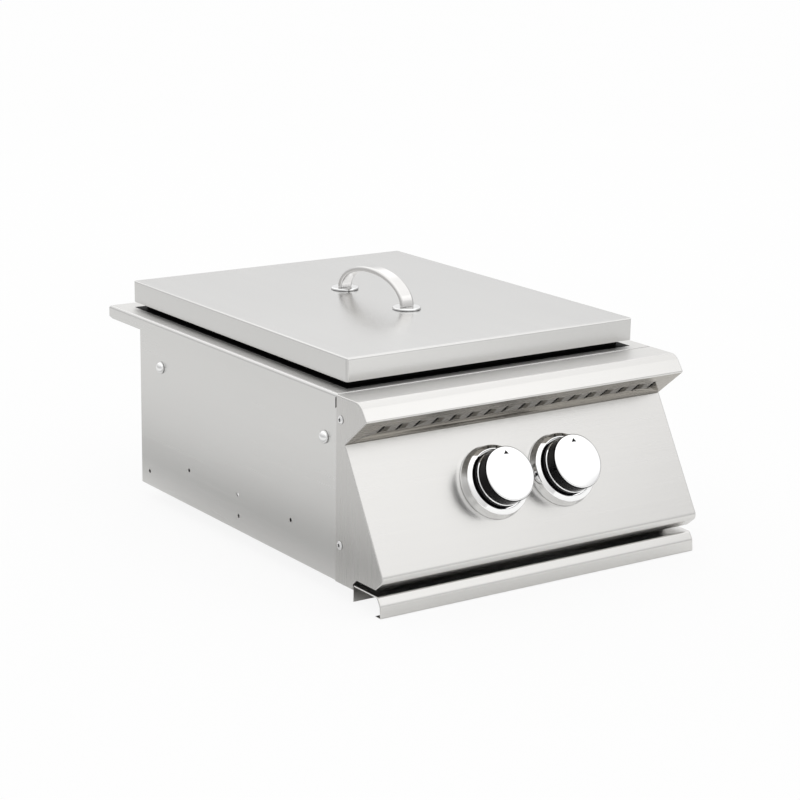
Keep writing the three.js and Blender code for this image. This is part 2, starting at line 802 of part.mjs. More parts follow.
function burnerBase(name) {
  const mouth = -tubeLength;
  const portStart = mouth + airPortSetback;
  const body = join(
    post(pegRadius, [baseBottom - pegDrop, baseBottom + throatFloor / 2]),
    post(throatRadius, [baseBottom, bowlBottom + bowlFloor / 2]),
    post(bowlRadius, [bowlBottom, bowlTop], fineSides),
    bar(tubeRadius, [0, 0, tubeZ], [0, mouth, tubeZ]));
  const airPorts = block([-tubeRadius - overrun, tubeRadius + overrun],
    [portStart, portStart + airPortLength], [tubeZ - airPortHeight / 2, tubeZ + airPortHeight / 2]);
  return piece(name, cut(body,
    post(bowlRadius - bowlWall, [bowlBottom + bowlFloor, bowlTop + overrun], fineSides),
    post(throatBore, [baseBottom + throatFloor, bowlTop]),
    bar(tubeRadius - tubeWall, [0, 0, tubeZ], [0, mouth - overrun, tubeZ]),
    airPorts), castAluminium);
}

function flameRing(name) {
  const ring = turned([[ringInner, 0], [ringRadius, 0], [ringRadius, ringHeight],
    [ringInner, ringHeight], [ringInner, 0]], fineSides);
  const ports = Array.from({ length: portCount }, (unused, index) => block(
    [ringInner - overrun, ringRadius + overrun], [-portWidth / 2, portWidth / 2],
    [ringHeight - portDepth, ringHeight + overrun]).rotateZ((index + 1 / 2) * 2 * Math.PI / portCount));
  return placed(piece(name, cut(ring, ...ports), brass), [0, 0, ringBottom]);
}

function burnerCap(name) {
  const lip = ringInner - fit;
  const edge = ringRadius - capInset;
  const cap = turned([[0, 0], [lip - capLipWall, 0], [lip - capLipWall, -capLipHeight],
    [lip, -capLipHeight], [lip, 0], [edge, 0], [edge, capEdge],
    [edge - capSlope, capEdge + capRise], [0, capEdge + capRise + capCrown]], fineSides);
  return placed(piece(name, cap, castIron), [0, 0, capBottom]);
}

function potSupport(name) {
  const half = supportBar / 2;
  const zs = [supportTop - supportDepth, supportTop];
  const outX = lidHalf - sheet * 2 - collarInset - trayInset - supportGap;
  const outY = supportHalfDepth;
  const frame = cut(block([-outX, outX], [-outY, outY], zs),
    block([supportBar - outX, outX - supportBar], [supportBar - outY, outY - supportBar],
      [zs[0] - overrun, zs[1] + overrun]));
  const fingers = [
    block([-outX, -fingerRadius], [-half, half], zs),
    block([fingerRadius, outX], [-half, half], zs),
    block([-half, half], [-outY, -fingerRadius], zs),
    block([-half, half], [fingerRadius, outY], zs),
  ];
  const legs = [-1, 1].flatMap((x) => [-1, 1].map((y) => block([-half, half], [-half, half],
    [trayFloor + fit, supportTop]).translate(x * (outX - half), y * (outY - half), 0)));
  return piece(name, join(frame, ...fingers, ...legs), castIron);
}

function orifice(name) {
  const half = orificeSize / 2;
  const tip = half + nozzleReach;
  const body = join(
    block([-half, half], [-half, half], [baseBottom, tubeZ + half]),
    bar(nozzleRadius, [0, 0, tubeZ], [0, tip, tubeZ]),
    post(spigotRadius, [spigotEnd, tubeZ]));
  return placed(piece(name, cut(body,
    post(nozzleRadius / 2, [spigotEnd - overrun, tubeZ], wireSides),
    bar(nozzleBore, [0, 0, tubeZ], [0, tip + overrun, tubeZ], wireSides)), brass), [0, -orificeBack, 0]);
}

function electrode(name, x) {
  const flange = trayFloor + fit;
  const pinTop = ceramicTop + pinHeight;
  const elbow = pinTop - pinRadius;
  const lean = -Math.sign(x) * pinReach * Math.SQRT1_2;
  return placed(piece(name, join(
    post(ceramicRadius, [ceramicBottom, ceramicTop], smallSides),
    post(ceramicFlange, [flange, flange + ceramicFlangeHeight], smallSides),
    post(pinRadius, [ceramicTop - pinReach, pinTop], wireSides),
    bar(pinRadius, [0, 0, elbow], [lean, pinReach * Math.SQRT1_2, elbow], wireSides)),
  whiteCeramic), [x, -electrodeOffset, 0]);
}

// Controls, each round the axis x = 0, y = 0, with the panel's face at z = 0

// A rod with a flat along one side, or the bore for it.
function flatRod(radius, flat, [z0, z1]) {
  return cut(post(radius, [z0, z1]),
    block([flat, radius + overrun], [-radius, radius], [z0 - overrun, z1 + overrun]));
}

function valveBody(name) {
  const inletEnd = fit - manifoldDrop;
  const springRoom = [springRoomBottom, springRoomTop];
  const body = join(
    post(neckRadius, [shoulderTop - shoulderThickness, neckTop]),
    post(shoulderRadius, [shoulderTop - shoulderThickness, shoulderTop]),
    post(springRoomRadius + valveWall, [plugRoomTop, shoulderTop]),
    post(valveRadius, [valveBottom, plugRoomTop + valveWall / 2]),
    post(outletRadius, [outletEnd, valveBottom + valveWall / 2]),
    bar(inletRadius, [0, 0, inletZ], [0, inletEnd, inletZ]),
    block([-piezoHalfWidth, piezoHalfWidth], [0, piezoHigh], [valveBottom, valveBottom + piezoDepth]));
  return piece(name, cut(body,
    post(stemRadius + fit * 2, [plugRoomBottom, neckTop + overrun]),
    post(springRoomRadius, springRoom),
    post(plugRadius + fit, [plugRoomBottom, plugRoomTop]),
    post(outletBore, [outletEnd - overrun, plugRoomBottom + valveWall], smallSides),
    bar(inletBore, [0, -plugRadius, inletZ], [0, inletEnd - overrun, inletZ], smallSides)), brass);
}

function valvePlug(name) {
  const boreBottom = stemBottom - knobTravel - fit * 2;
  return piece(name, cut(post(plugRadius, [plugBottom, plugTop]),
    post(stemRadius + fit, [boreBottom, plugTop + overrun])), brass);
}

function valveStem(name) {
  return piece(name, join(
    post(stemRadius, [stemBottom, knobBase]),
    flatRod(stemRadius, stemFlat, [knobBase - fit, stemTop]),
    post(springRoomRadius - fit * 2, [stemCollarTop - stemCollarThickness, stemCollarTop])), brass);
}

function valveSpring(name) {
  const steps = springTurns * wireSides;
  const extrudePath = new THREE.CatmullRomCurve3(Array.from({ length: steps + 1 }, (unused, step) => {
    const angle = step * 2 * Math.PI / wireSides;
    return new THREE.Vector3(springRadius * Math.cos(angle), springRadius * Math.sin(angle),
      springTop - springLength * step / steps);
  }));
  return piece(name, new THREE.ExtrudeGeometry(roundSection(springWire, springSides),
    { steps, extrudePath }), zinc);
}

function valveNut(name) {
  return piece(name, cut(post(valveNutRadius, [bezelTop + fit, neckTop], hexSides),
    post(neckRadius + fit, [bezelTop - overrun, neckTop + overrun])), zinc);
}

function bezel(name) {
  const hole = neckRadius + fit;
  const shoulder = (bezelRadius * 2 + bezelRimRadius) / 3;
  return piece(name, turned([[hole, fit], [bezelRadius, fit], [bezelRadius, bezelEdge],
    [shoulder, (bezelEdge + bezelRimHeight * 2) / 3], [bezelRimRadius, bezelRimHeight],
    [bezelInnerRadius + sheet, bezelCrestHeight], [bezelInnerRadius, bezelCrestHeight],
    [bezelInnerRadius, bezelTop], [hole, bezelTop], [hole, fit]], fineSides), chrome);
}

function knob(name) {
  const skirt = knobRadius + knobSkirt;
  const recess = skirt - knobWall;
  const skirtTop = knobBase + knobSkirtHeight;
  const body = turned([[0, knobRecessTop], [recess, knobRecessTop], [recess, knobBase],
    [skirt, knobBase], [skirt, skirtTop], [knobRadius, skirtTop + knobSkirt],
    [knobRadius, knobFace - knobEdge], [knobRadius - knobEdge / 3, knobFace - knobEdge / 3],
    [knobRadius - knobEdge, knobFace], [0, knobFace + knobCrown]], fineSides);
  return piece(name, cut(body,
    flatRod(stemRadius + fit, stemFlat + fit, [knobBase, knobBoreTop])), chrome);
}

function control(place) {
  return group(
    valveBody(`valve_body_${place}`), valvePlug(`valve_plug_${place}`),
    valveStem(`valve_stem_${place}`), valveSpring(`valve_spring_${place}`),
    valveNut(`valve_nut_${place}`), bezel(`bezel_${place}`), knob(`knob_${place}`));
}

// A closed-ended square tube, tapped under each valve and open towards its inlet elbow.
function gasManifold() {
  const ys = [-manifoldDrop - manifoldSize, -manifoldDrop];
  const zs = [inletZ - manifoldSize / 2, inletZ + manifoldSize / 2];
  const inside = ([low, high]) => [low + manifoldWall, high - manifoldWall];
  const taps = [-knobX, knobX].map((x) => bar(inletBore, [x, -manifoldDrop + overrun, inletZ],
    [x, -manifoldDrop - manifoldWall - overrun, inletZ], smallSides));
  return piece('gas_manifold', cut(block([-manifoldLeft, manifoldRight], ys, zs),
    block([manifoldWall - manifoldLeft, manifoldRight + overrun], inside(ys), inside(zs)),
    ...taps), zinc);
}

// Gas inlet, gas tubes and igniter leads

function inletElbow() {
  const { y, z } = panelPoint(0, -manifoldDrop - manifoldSize / 2, inletZ);
  const half = elbowSize / 2;
  const end = half + inletSpigotLength;
  return placed(piece('inlet_elbow', cut(
    join(block([-half, half], [-half, half], [-half, half]),
      bar(inletSpigotRadius, [0, 0, 0], [0, end, 0])),
    bar(inletSpigotBore, [0, 0, 0], [0, end + overrun, 0]),
    bar(inletSpigotBore, [-half - overrun, 0, 0], [0, 0, 0])), brass),
  [manifoldRight + fit + half, y, z]);
}

function gasTube(name, x, burnerY) {
  const y = burnerY - orificeBack;
  const start = panelPoint(x, 0, outletEnd - fit);
  const stub = panelPoint(x, 0, outletEnd - gasTubeStub);
  const under = y - stub.y < burnerPitch / 2 ? []
    : [new THREE.Vector3(Math.sign(x) * gasTubeSide, (stub.y + y) / 2, gasTubeLowZ)];
  return piece(name, tubeAlong([start, stub, ...under,
    new THREE.Vector3(0, y, gasTubeBendZ),
    new THREE.Vector3(0, y, spigotEnd - gasTubeStub),
    new THREE.Vector3(0, y, spigotEnd - fit)], gasTubeRadius), castAluminium);
}

function igniterLead(name, x, electrodeX, electrodeY) {
  const up = (valveRadius + piezoHigh) / 2;
  const start = panelPoint(x, up, valveBottom - fit);
  const stub = panelPoint(x, up, valveBottom - leadStub);
  const under = electrodeY - stub.y < burnerPitch / 2 ? []
    : [new THREE.Vector3(Math.sign(x) * leadSide, (stub.y + electrodeY) / 2, leadLowZ)];
  const low = ceramicBottom - leadStub;
  return piece(name, tubeAlong([start, stub, ...under,
    new THREE.Vector3(electrodeX, electrodeY - leadSag, low - leadSag),
    new THREE.Vector3(electrodeX, electrodeY, low),
    new THREE.Vector3(electrodeX, electrodeY, ceramicBottom - fit)], leadRadius), redSilicone);
}

// Assembly

const box = group(
  deck(), sidePanel('side_panel_left', -1), sidePanel('side_panel_right', 1),
  floorPanel(), rearPanel(), fascia(), cheek('cheek_left', -1), cheek('cheek_right', 1),
  bottomRail(), sideFasteners());

const burnerDeck = group(burnerTray(), burnerCarrier(), inletElbow());
['front', 'rear'].forEach((place, index) => {
  const x = [-knobX, knobX][index];
  const y = burnerYs[index];
  burnerDeck.add(
    placed(crossBar(`cross_bar_${place}`), [0, boltYs[index], 0]),
    placed(group(
      burnerBase(`burner_base_${place}`), flameRing(`flame_ring_${place}`),
      burnerCap(`burner_cap_${place}`), potSupport(`pot_support_${place}`),
      orifice(`orifice_${place}`), electrode(`electrode_${place}`, electrodeXs[index])), [0, y, 0]),
    gasTube(`gas_tube_${place}`, x, y),
    igniterLead(`igniter_lead_${place}`, x, electrodeXs[index], y - electrodeOffset));
});

const lid = group(lidShell(), lidFrame(), lidHandle());
handleFeet.forEach(([place, y]) => {
  lid.add(placed(rosette(`rosette_${place}`), [0, y, lidTop + fit]),
    placed(handleScrew(`handle_screw_${place}`), [0, y, lidUnderside]));
});

const panel = group(gasManifold(),
  placed(control('left'), [-knobX, 0, 0]), placed(control('right'), [knobX, 0, 0]));
panel.position.set(0, knobY, knobZ);
panel.rotation.x = panelTurn;

const sideBurner = group(box, burnerDeck, lid, panel);
sideBurner.name = 'side_burner';

// The origin goes to the bottom centre of the whole box.
const extent = new THREE.Box3().setFromObject(sideBurner, true);
const middle = extent.getCenter(new THREE.Vector3());
sideBurner.position.set(-middle.x, -middle.y, -extent.min.z);

export default sideBurner;
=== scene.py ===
# %% [markdown]
# # A slide-in double side burner
#
# A side burner for an outdoor kitchen is a folded stainless box that slides into a worktop. It has a
# lift-off lid, a deck with a raised collar, a slotted visor, a sloped control panel and two push-and-turn
# knobs. The solids are already cut and jointed. This lesson gives them their real skins: fine bends, rolled
# edges, brushed sheet, chrome, brass and cast iron.

# %% Load the solids
import bmesh
import bpy
import json
import math
from mathutils import Matrix, Vector


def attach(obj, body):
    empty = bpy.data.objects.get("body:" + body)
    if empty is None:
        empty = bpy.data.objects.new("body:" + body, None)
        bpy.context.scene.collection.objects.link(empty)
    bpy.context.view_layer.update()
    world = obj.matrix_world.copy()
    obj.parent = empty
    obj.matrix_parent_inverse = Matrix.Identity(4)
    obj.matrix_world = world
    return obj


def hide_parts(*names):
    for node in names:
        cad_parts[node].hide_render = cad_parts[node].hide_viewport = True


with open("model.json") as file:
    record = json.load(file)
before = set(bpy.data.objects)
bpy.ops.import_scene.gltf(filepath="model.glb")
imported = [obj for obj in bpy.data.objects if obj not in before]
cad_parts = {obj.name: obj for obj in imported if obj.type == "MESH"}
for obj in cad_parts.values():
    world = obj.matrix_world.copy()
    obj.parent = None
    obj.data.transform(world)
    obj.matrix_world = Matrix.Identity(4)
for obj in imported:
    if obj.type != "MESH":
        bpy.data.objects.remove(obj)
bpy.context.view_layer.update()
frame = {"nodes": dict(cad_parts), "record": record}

# %% [markdown]
# ## The camera
#
# The photograph was taken from the front left, a little above the lid, with a long lens. The place, the turn
# and the lens were worked out from the straight edges of the box, so the render and the photograph lie on
# each other. A camera looks along its own -Z, so its matrix is made from its right, up and backward
# directions.

# %% Set up the camera
camera_place = Vector((-1.16804, -1.70876, 0.64874))
camera_turn = 0.602585
camera_dip = 0.253213
camera_roll = 0.013907
sensor_width = 36
focal_pixels = 2270.83
picture_width = 800

ahead = Vector((math.sin(camera_turn) * math.cos(camera_dip),
                math.cos(camera_turn) * math.cos(camera_dip), -math.sin(camera_dip)))
level_right = Vector((math.cos(camera_turn), -math.sin(camera_turn), 0))
level_up = level_right.cross(ahead)
camera_right = math.cos(camera_roll) * level_right + math.sin(camera_roll) * level_up
camera_up = math.cos(camera_roll) * level_up - math.sin(camera_roll) * level_right

camera = bpy.data.objects.new("camera", bpy.data.cameras.new("camera"))
camera.data.sensor_width = sensor_width
camera.data.lens = sensor_width * focal_pixels / picture_width
camera.data.clip_end = 100
camera.matrix_world = Matrix.Translation(camera_place) @ Matrix(
    (camera_right, camera_up, -ahead)).transposed().to_4x4()
bpy.context.scene.collection.objects.link(camera)
bpy.context.scene.camera = camera
print("lens:", round(camera.data.lens, 2), "mm")

# %% [markdown]
# ## Writing nodes as sums
#
# A finish is a small tree of nodes. Drawn by hand it is quick to read but slow to change, so here a socket
# is wrapped in a class whose plus, minus, times and divide add the Math nodes. One method adds any other
# node: its kind, its settings, and then the values or links of its sockets. Two short ones mix colours and
# shade greys. The same class serves for Geometry Nodes.

# %% Signals and trees
class Signal:
    """One output of a node, so that a sum on signals can be written in Python."""

    def __init__(self, tree, socket):
        self.tree = tree
        self.socket = socket

    def _math(self, operation, first, second):
        return self.tree.add("ShaderNodeMath", {"operation": operation}, {0: first, 1: second})

    def __add__(self, other):
        return self._math("ADD", self, other)

    def __sub__(self, other):
        return self._math("SUBTRACT", self, other)

    def __mul__(self, other):
        return self._math("MULTIPLY", self, other)

    def __truediv__(self, other):
        return self._math("DIVIDE", self, other)


class Tree:
    """A node tree, for a finish, the surroundings or a shape."""

    def __init__(self, nodes):
        self.nodes = nodes

    def add(self, kind, settings=None, values=None, output=0):
        node = self.nodes.nodes.new(kind)
        for name, setting in (settings or {}).items():
            setattr(node, name, setting)
        for name, value in (values or {}).items():
            for part in value if isinstance(value, list) else [value]:
                if isinstance(part, Signal):
                    self.nodes.links.new(part.socket, node.inputs[name])
                else:
                    node.inputs[name].default_value = part
        return Signal(self, node.outputs[output]) if node.outputs else node

    def mixed(self, factor, first, second, kind="MIX"):
        """Two colours, mixed by a factor or multiplied."""
        return self.add("ShaderNodeMix", {"data_type": "RGBA", "blend_type": kind},
                        {0: factor, 6: first, 7: second}, output=2)

    def greys(self, factor, *stops):
        """A grey that follows a factor through stops, each a place and its shade."""
        grey = self.add("ShaderNodeValToRGB", None, {0: factor})
        elements = grey.socket.node.color_ramp.elements
        while len(elements) < len(stops):
            elements.new(1)
        for element, (place, shade) in zip(elements, stops):
            element.position = place
            element.color = (shade, shade, shade, 1)
        return grey


print("trees are ready")

# %% [markdown]
# ## The studio
#
# Stainless steel shows its surroundings more than its own colour. The photograph was made in a white tent:
# bright from above, greyer towards the horizon and at both sides. The front and the rear have their own
# shades by height, which are mixed by how far a direction points to the rear. To the camera the room is
# plain white.

# %% Surroundings
world = bpy.data.worlds.new("studio")
world.use_nodes = True
world.node_tree.nodes.clear()
bpy.context.scene.world = world
studio = Tree(world.node_tree)

brightest = 1.45
rear_from, rear_to = -0.3, 0.3
white = (1, 1, 1, 1)

heading = studio.add("ShaderNodeTexCoord", output="Generated")
sideways, rearward, upward = [
    studio.add("ShaderNodeSeparateXYZ", None, {0: heading}, output=letter) for letter in "XYZ"]
front_shade = studio.greys(upward, (0, 0.53), (0.35, 0.66), (0.52, 0.71), (0.66, 0.88), (1, 1))
rear_shade = studio.greys(upward, (0, 0.5), (0.15, 0.57), (0.28, 0.69), (0.5, 0.85), (1, 1))
side_shade = studio.greys(sideways * 0.5 + 0.5, (0, 0.75), (0.22, 0.86), (0.3, 0.97), (0.8, 1), (0.83, 0.92),
                          (0.87, 0.75), (1, 0.55))
to_rear = studio.add("ShaderNodeMapRange", {"interpolation_type": "SMOOTHSTEP"}, {
    0: rearward, 1: rear_from, 2: rear_to})
by_height = studio.mixed(to_rear, front_shade, rear_shade)
tent = studio.mixed(1.0, by_height, side_shade, "MULTIPLY")
room = studio.add("ShaderNodeVectorMath", {"operation": "SCALE"}, {0: tent, "Scale": brightest})
seen = studio.add("ShaderNodeLightPath", output="Is Camera Ray")
backdrop = studio.mixed(seen, room, white)
studio.add("ShaderNodeOutputWorld", None, {0: studio.add("ShaderNodeBackground", None, {0: backdrop})})
print("surroundings:", len(world.node_tree.nodes), "nodes")

# %% [markdown]
# The floor is one large pale sheet. To the camera it mostly glows plain white, so that it runs on into the
# backdrop, and the rest of it is lit, so that it keeps the soft shadow of the burner. What metal mirrors of
# the floor is painted with shade: greys from left to right, and a painted shadow band beside the burner's
# left side.

# %% Floor
floor_half = 14
camera_glow, glass_glow = 0.89, 0.1
mirror_gain = 1.25
floor_paint = bpy.data.materials.new("floor_paint")
floor_paint.use_nodes = True
floor_paint.node_tree.nodes.clear()
ground = Tree(floor_paint.node_tree)
by_camera, by_gloss, by_glass = [
    ground.add("ShaderNodeLightPath", output=ray)
    for ray in ("Is Camera Ray", "Is Glossy Ray", "Is Transmission Ray")]
spot = ground.add("ShaderNodeTexCoord", output="Object")
grit = ground.add("ShaderNodeTexNoise", None, {"Vector": spot, "Scale": 3.0})
pale = ground.mixed(grit, (0.76, 0.76, 0.755, 1), (0.8, 0.8, 0.795, 1))
across = ground.add("ShaderNodeSeparateXYZ", None, {0: spot}, output="X")
# painted shade on the floor as metal mirrors it, with a painted shadow band beside the burner's left side
painted_floor_shade = ground.greys(across * 0.5 + 0.5, (0, 0.65), (0.2, 0.79), (0.27, 0.85), (0.3, 0.83), (0.35, 0.74),
                       (0.38, 0.52), (0.41, 0.96), (0.72, 0.96), (0.8, 0.78))
mirrored = ground.add("ShaderNodeVectorMath", {"operation": "SCALE"}, {0: painted_floor_shade, "Scale": mirror_gain})
paint = ground.mixed(by_gloss, pale, mirrored, "MULTIPLY")
lit = ground.add("ShaderNodeBsdfDiffuse", None, {0: paint})
glow = ground.add("ShaderNodeEmission", None, {0: white, 1: 1.0})
share = by_camera * camera_glow + by_glass * glass_glow
ground.add("ShaderNodeOutputMaterial", None, {
    0: ground.add("ShaderNodeMixShader", None, {0: share, 1: lit, 2: glow})})

floor_mesh = bpy.data.meshes.new("floor")
floor_mesh.from_pydata([(-floor_half, -floor_half, 0), (floor_half, -floor_half, 0),
                        (floor_half, floor_half, 0), (-floor_half, floor_half, 0)], [], [(0, 1, 2, 3)])
floor_mesh.materials.append(floor_paint)
floor = bpy.data.objects.new("floor", floor_mesh)
bpy.context.scene.collection.objects.link(floor)
print("floor:", floor_half * 2, "m square")

# %% [markdown]
# Two wide, weak lamps stand for the soft boxes of the studio, one at the front right and one at the rear
# right. They add a little direction to the even light of the tent.

# %% Soft boxes
def soft_box(name, place, aim, width, height, power):
    """A wide lamp at a place, turned towards a point."""
    lamp = bpy.data.lights.new(name, "AREA")
    lamp.shape = "RECTANGLE"
    lamp.size = width
    lamp.size_y = height
    lamp.energy = power
    box = bpy.data.objects.new(name, lamp)
    box.location = place
    box.rotation_euler = (Vector(aim) - Vector(place)).to_track_quat("-Z", "Y").to_euler()
    bpy.context.scene.collection.objects.link(box)


soft_box("front_box", (1.5, -1.9, 1.9), (0, -0.1, 0.1), 1.8, 1.2, 2)
soft_box("rear_box", (0.9, 2.0, 1.5), (0, 0, 0.15), 2.2, 1.0, 2)
print("soft boxes: 2")

# %% [markdown]
# ## Drafting in millimetres
#
# A maker draws a sheet part in millimetres from a crease, not in metres from the middle of a box. The shapes
# are drafted that way here: x = 0 is the middle, y = 0 the crease under the visor, z = 0 the lower edge of
# the side panels. Each finished piece is moved to the frame's metres once, in its mesh.

# %% Where the drawing lies in the frame
drawing_origin = Vector((0, -180.1736, 13.7))
drawing_to_frame = Matrix.Scale(0.001, 4) @ Matrix.Translation(drawing_origin)
print("crease at", [round(value, 4) for value in drawing_to_frame @ Vector((0, 0, 0))])

# %% [markdown]
# Four kinds of shape make nearly all of this burner: a straight prism of an outline, a turned body, a folded
# sheet and a folded tray. The first two are made point by point, and the others are built from rounded
# outlines.

# %% Prisms and turned bodies
merge_distance = 0.0001


def solid(points, faces):
    """A closed mesh with its doubles merged and its faces turned outwards."""
    mesh = bpy.data.meshes.new("draft")
    mesh.from_pydata(points, [], faces)
    skin = bmesh.new()
    skin.from_mesh(mesh)
    bmesh.ops.remove_doubles(skin, verts=skin.verts, dist=merge_distance)
    bmesh.ops.recalc_face_normals(skin, faces=skin.faces)
    skin.to_mesh(mesh)
    skin.free()
    draft = bpy.data.objects.new("draft", mesh)
    bpy.context.scene.collection.objects.link(draft)
    return draft


def skinned(points, count):
    """A body through rings of points, all of the same count, closed at both ends."""
    last = len(points) - count
    walls = [(start + i, start + (i + 1) % count, start + count + (i + 1) % count, start + count + i)
             for start in range(0, last, count) for i in range(count)]
    return solid(points, [list(range(count)), list(range(last, last + count)), *walls])


def lofted(sections, axis):
    """A body through outlines of equal length, each given with its place along x, y or z."""
    points = [[(along, a, b), (a, along, b), (a, b, along)]["xyz".index(axis)]
              for along, outline in sections for a, b in outline]
    return skinned(points, len(sections[0][1]))


def prism(outline, axis, low, high):
    """A straight prism of an outline along x, y or z."""
    return lofted([(low, outline), (high, outline)], axis)


def rectangle(across, up, *radius):
    """Four corners between two pairs of limits, each with a radius if one is given."""
    return [(a, b, *radius) for a, b in (
        (across[0], up[0]), (across[1], up[0]), (across[1], up[1]), (across[0], up[1]))]


def block(xs, ys, zs):
    return prism(rectangle(ys, zs), "x", *xs)


def turned(profile, sides=96):
    """A body of revolution about z, from points of radius and height."""
    points, rings = [], []
    for radius, height in profile:
        start = len(points)
        if radius == 0:
            points.append((0, 0, height))
            rings.append([start] * sides)
        else:
            points += [(radius * math.cos(angle), radius * math.sin(angle), height)
                       for angle in (2 * math.pi * i / sides for i in range(sides))]
            rings.append(list(range(start, start + sides)))
    faces = [list(dict.fromkeys((lower[i], lower[(i + 1) % sides], upper[(i + 1) % sides], upper[i])))
             for lower, upper in zip(rings, rings[1:]) for i in range(sides)]
    return solid(points, [face for face in faces if len(face) > 2])


def peg(radius, low, high, sides):
    """A round peg on z, which serves as a pin or as a drill."""
    return turned([(0, low), (radius, low), (radius, high), (0, high)], sides)


print("shapes: lofted, prism, block, turned, peg")

# %% [markdown]
# A press brake leaves a radius at each bend. An outline is written as its sharp corners, each with its
# radius, and the corners are rounded in steps of a few degrees, which smooth shading then hides.

# %% Rounded and offset paths
bend_step = math.radians(5)


def rounded(corners):
    """A path of (a, b) or (a, b, radius) corners, with those corners rounded."""
    path = []
    for index, (a, b, *radius) in enumerate(corners):
        if not radius:
            path.append((a, b))
            continue
        corner = Vector((a, b))
        before = (Vector(corners[index - 1][:2]) - corner).normalized()
        after = (Vector(corners[(index + 1) % len(corners)][:2]) - corner).normalized()
        half = math.acos(max(-1, min(1, before.dot(after)))) / 2
        centre = corner + (before + after).normalized() * radius[0] / math.sin(half)
        start = corner + before * radius[0] / math.tan(half) - centre
        end = corner + after * radius[0] / math.tan(half) - centre
        first, last = math.atan2(start.y, start.x), math.atan2(end.y, end.x)
        sweep = math.atan2(math.sin(last - first), math.cos(last - first))
        steps = max(2, math.ceil(abs(sweep) / bend_step))
        path += [(centre.x + radius[0] * math.cos(first + sweep * i / steps),
                  centre.y + radius[0] * math.sin(first + sweep * i / steps)) for i in range(steps + 1)]
    return path


def offset(path, distance):
    """The same path, moved to its left."""
    sides = [Vector((c[0] - a[0], c[1] - a[1])).normalized() for a, c in zip(path, path[1:])]
    normals = [Vector((-side.y, side.x)) for side in sides]
    shifted = []
    for index, (a, b) in enumerate(path):
        mitre = normals[max(index - 1, 0)] + normals[min(index, len(normals) - 1)]
        mitre = mitre * (2 * distance / mitre.length_squared)
        shifted.append((a + mitre.x, b + mitre.y))
    return shifted


sheet = 1.0
sheet_softness = 0.95
end_steps = 6


def folded_sheet(path, half_width):
    """A sheet whose outer face follows a path of (y, z) points, rounded off at both of its ends."""
    ends = []
    for step in range(end_steps + 1):
        angle = step / end_steps * math.pi / 2
        inset = sheet_softness * (1 - math.sin(angle))
        outline = [*offset(path, inset), *reversed(offset(path, sheet))]
        ends.append((half_width - sheet_softness * (1 - math.cos(angle)), outline))
    return lofted([(-along, outline) for along, outline in ends] + ends[::-1], "x")


print("one right-angle bend has", len(rounded([(0, 1), (0, 0, 0.5), (1, 0)])) - 2, "points")

# %% [markdown]
# Holes and joints between plain shapes are left to the Boolean modifier, which cuts as exactly as a punch
# does. Its result is taken as a plain mesh and the tools are thrown away. A tool runs past what it cuts.

# %% Cut, join and settle
overrun, past_sides = 4, 180


def settled(draft):
    """The draft with its modifiers made into plain mesh."""
    bpy.context.view_layer.update()
    result = draft.evaluated_get(bpy.context.evaluated_depsgraph_get())
    mesh = bpy.data.meshes.new_from_object(result)
    draft.modifiers.clear()
    draft.data = mesh
    return draft


def combined(draft, tools, operation):
    for tool in tools:
        modifier = draft.modifiers.new("tool", "BOOLEAN")
        modifier.operation = operation
        modifier.solver = "EXACT"
        modifier.object = tool
    settled(draft)
    for tool in tools:
        bpy.data.objects.remove(tool)
    return draft


def cut(draft, *tools):
    return combined(draft, tools, "DIFFERENCE")


def joined(draft, *others):
    return combined(draft, others, "UNION")


def moved(draft, place=(0, 0, 0), direction=(0, 0, 1)):
    """A draft that was made along z, laid along a direction and moved to its place."""
    turn = Vector((0, 0, 1)).rotation_difference(Vector(direction)).to_matrix().to_4x4()
    draft.data.transform(Matrix.Translation(place) @ turn)
    return draft


def folded_tray(xs, ys, zs, radius, front_radius, corner_radius=0):
    """A block whose upper edges are bent to a radius; a radius of 0 leaves that edge sharp."""
    front = (ys[0], zs[1], front_radius) if front_radius else (ys[0], zs[1])
    across = prism(rounded([(xs[0], zs[0]), (xs[0], zs[1], radius), (xs[1], zs[1], radius), (xs[1], zs[0])]),
                   "y", *ys)
    along = prism(rounded([(ys[0], zs[0]), front, (ys[1], zs[1], radius), (ys[1], zs[0])]), "x", *xs)
    if not corner_radius:
        return combined(across, [along], "INTERSECT")
    plan = prism(rounded(rectangle(xs, ys, corner_radius)), "z", *zs)
    return combined(across, [along, plan], "INTERSECT")


print("booleans are ready")

# %% [markdown]
# Every real edge is a little soft. The last step for each piece is therefore the same: it is moved to the
# frame, its sharp edges get a narrow bevel, wide flat faces keep their own normals so that they shade flat,
# and the piece is given to its body, its CAD nodes and its material slot.

# %% Hand a piece over
smooth_angle = math.radians(24)
edge_angle = math.radians(35)
made = []


def painted(draft, finishes, choice):
    """Gives a draft several finishes; choice tells which of them a face has."""
    draft.data.materials.clear()
    for finish in finishes:
        draft.data.materials.append(finish)
    for face in draft.data.polygons:
        face.material_index = choice(face)
    return draft


def handed_over(draft, name, finish, body, nodes, edge=0.12):
    """Makes a draft a piece; where finish is None it keeps the finishes that it has."""
    draft.name = name
    draft.data.name = name
    draft.data.transform(drawing_to_frame)
    if finish:
        draft.data.materials.append(finish)
    bevel = draft.modifiers.new("edge", "BEVEL")
    bevel.width = edge / 1000
    bevel.segments = 2
    bevel.limit_method = "ANGLE"
    bevel.angle_limit = edge_angle
    settled(draft)
    draft.data.shade_smooth()
    draft.data.set_sharp_from_angle(angle=smooth_angle)
    flats = draft.modifiers.new("flats", "WEIGHTED_NORMAL")
    flats.keep_sharp = True
    settled(draft)
    draft.data.name = name
    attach(draft, body)
    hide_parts(*nodes)
    made.append(name)
    print(name, "-", len(draft.data.polygons), "faces")


print("pieces can be handed over")
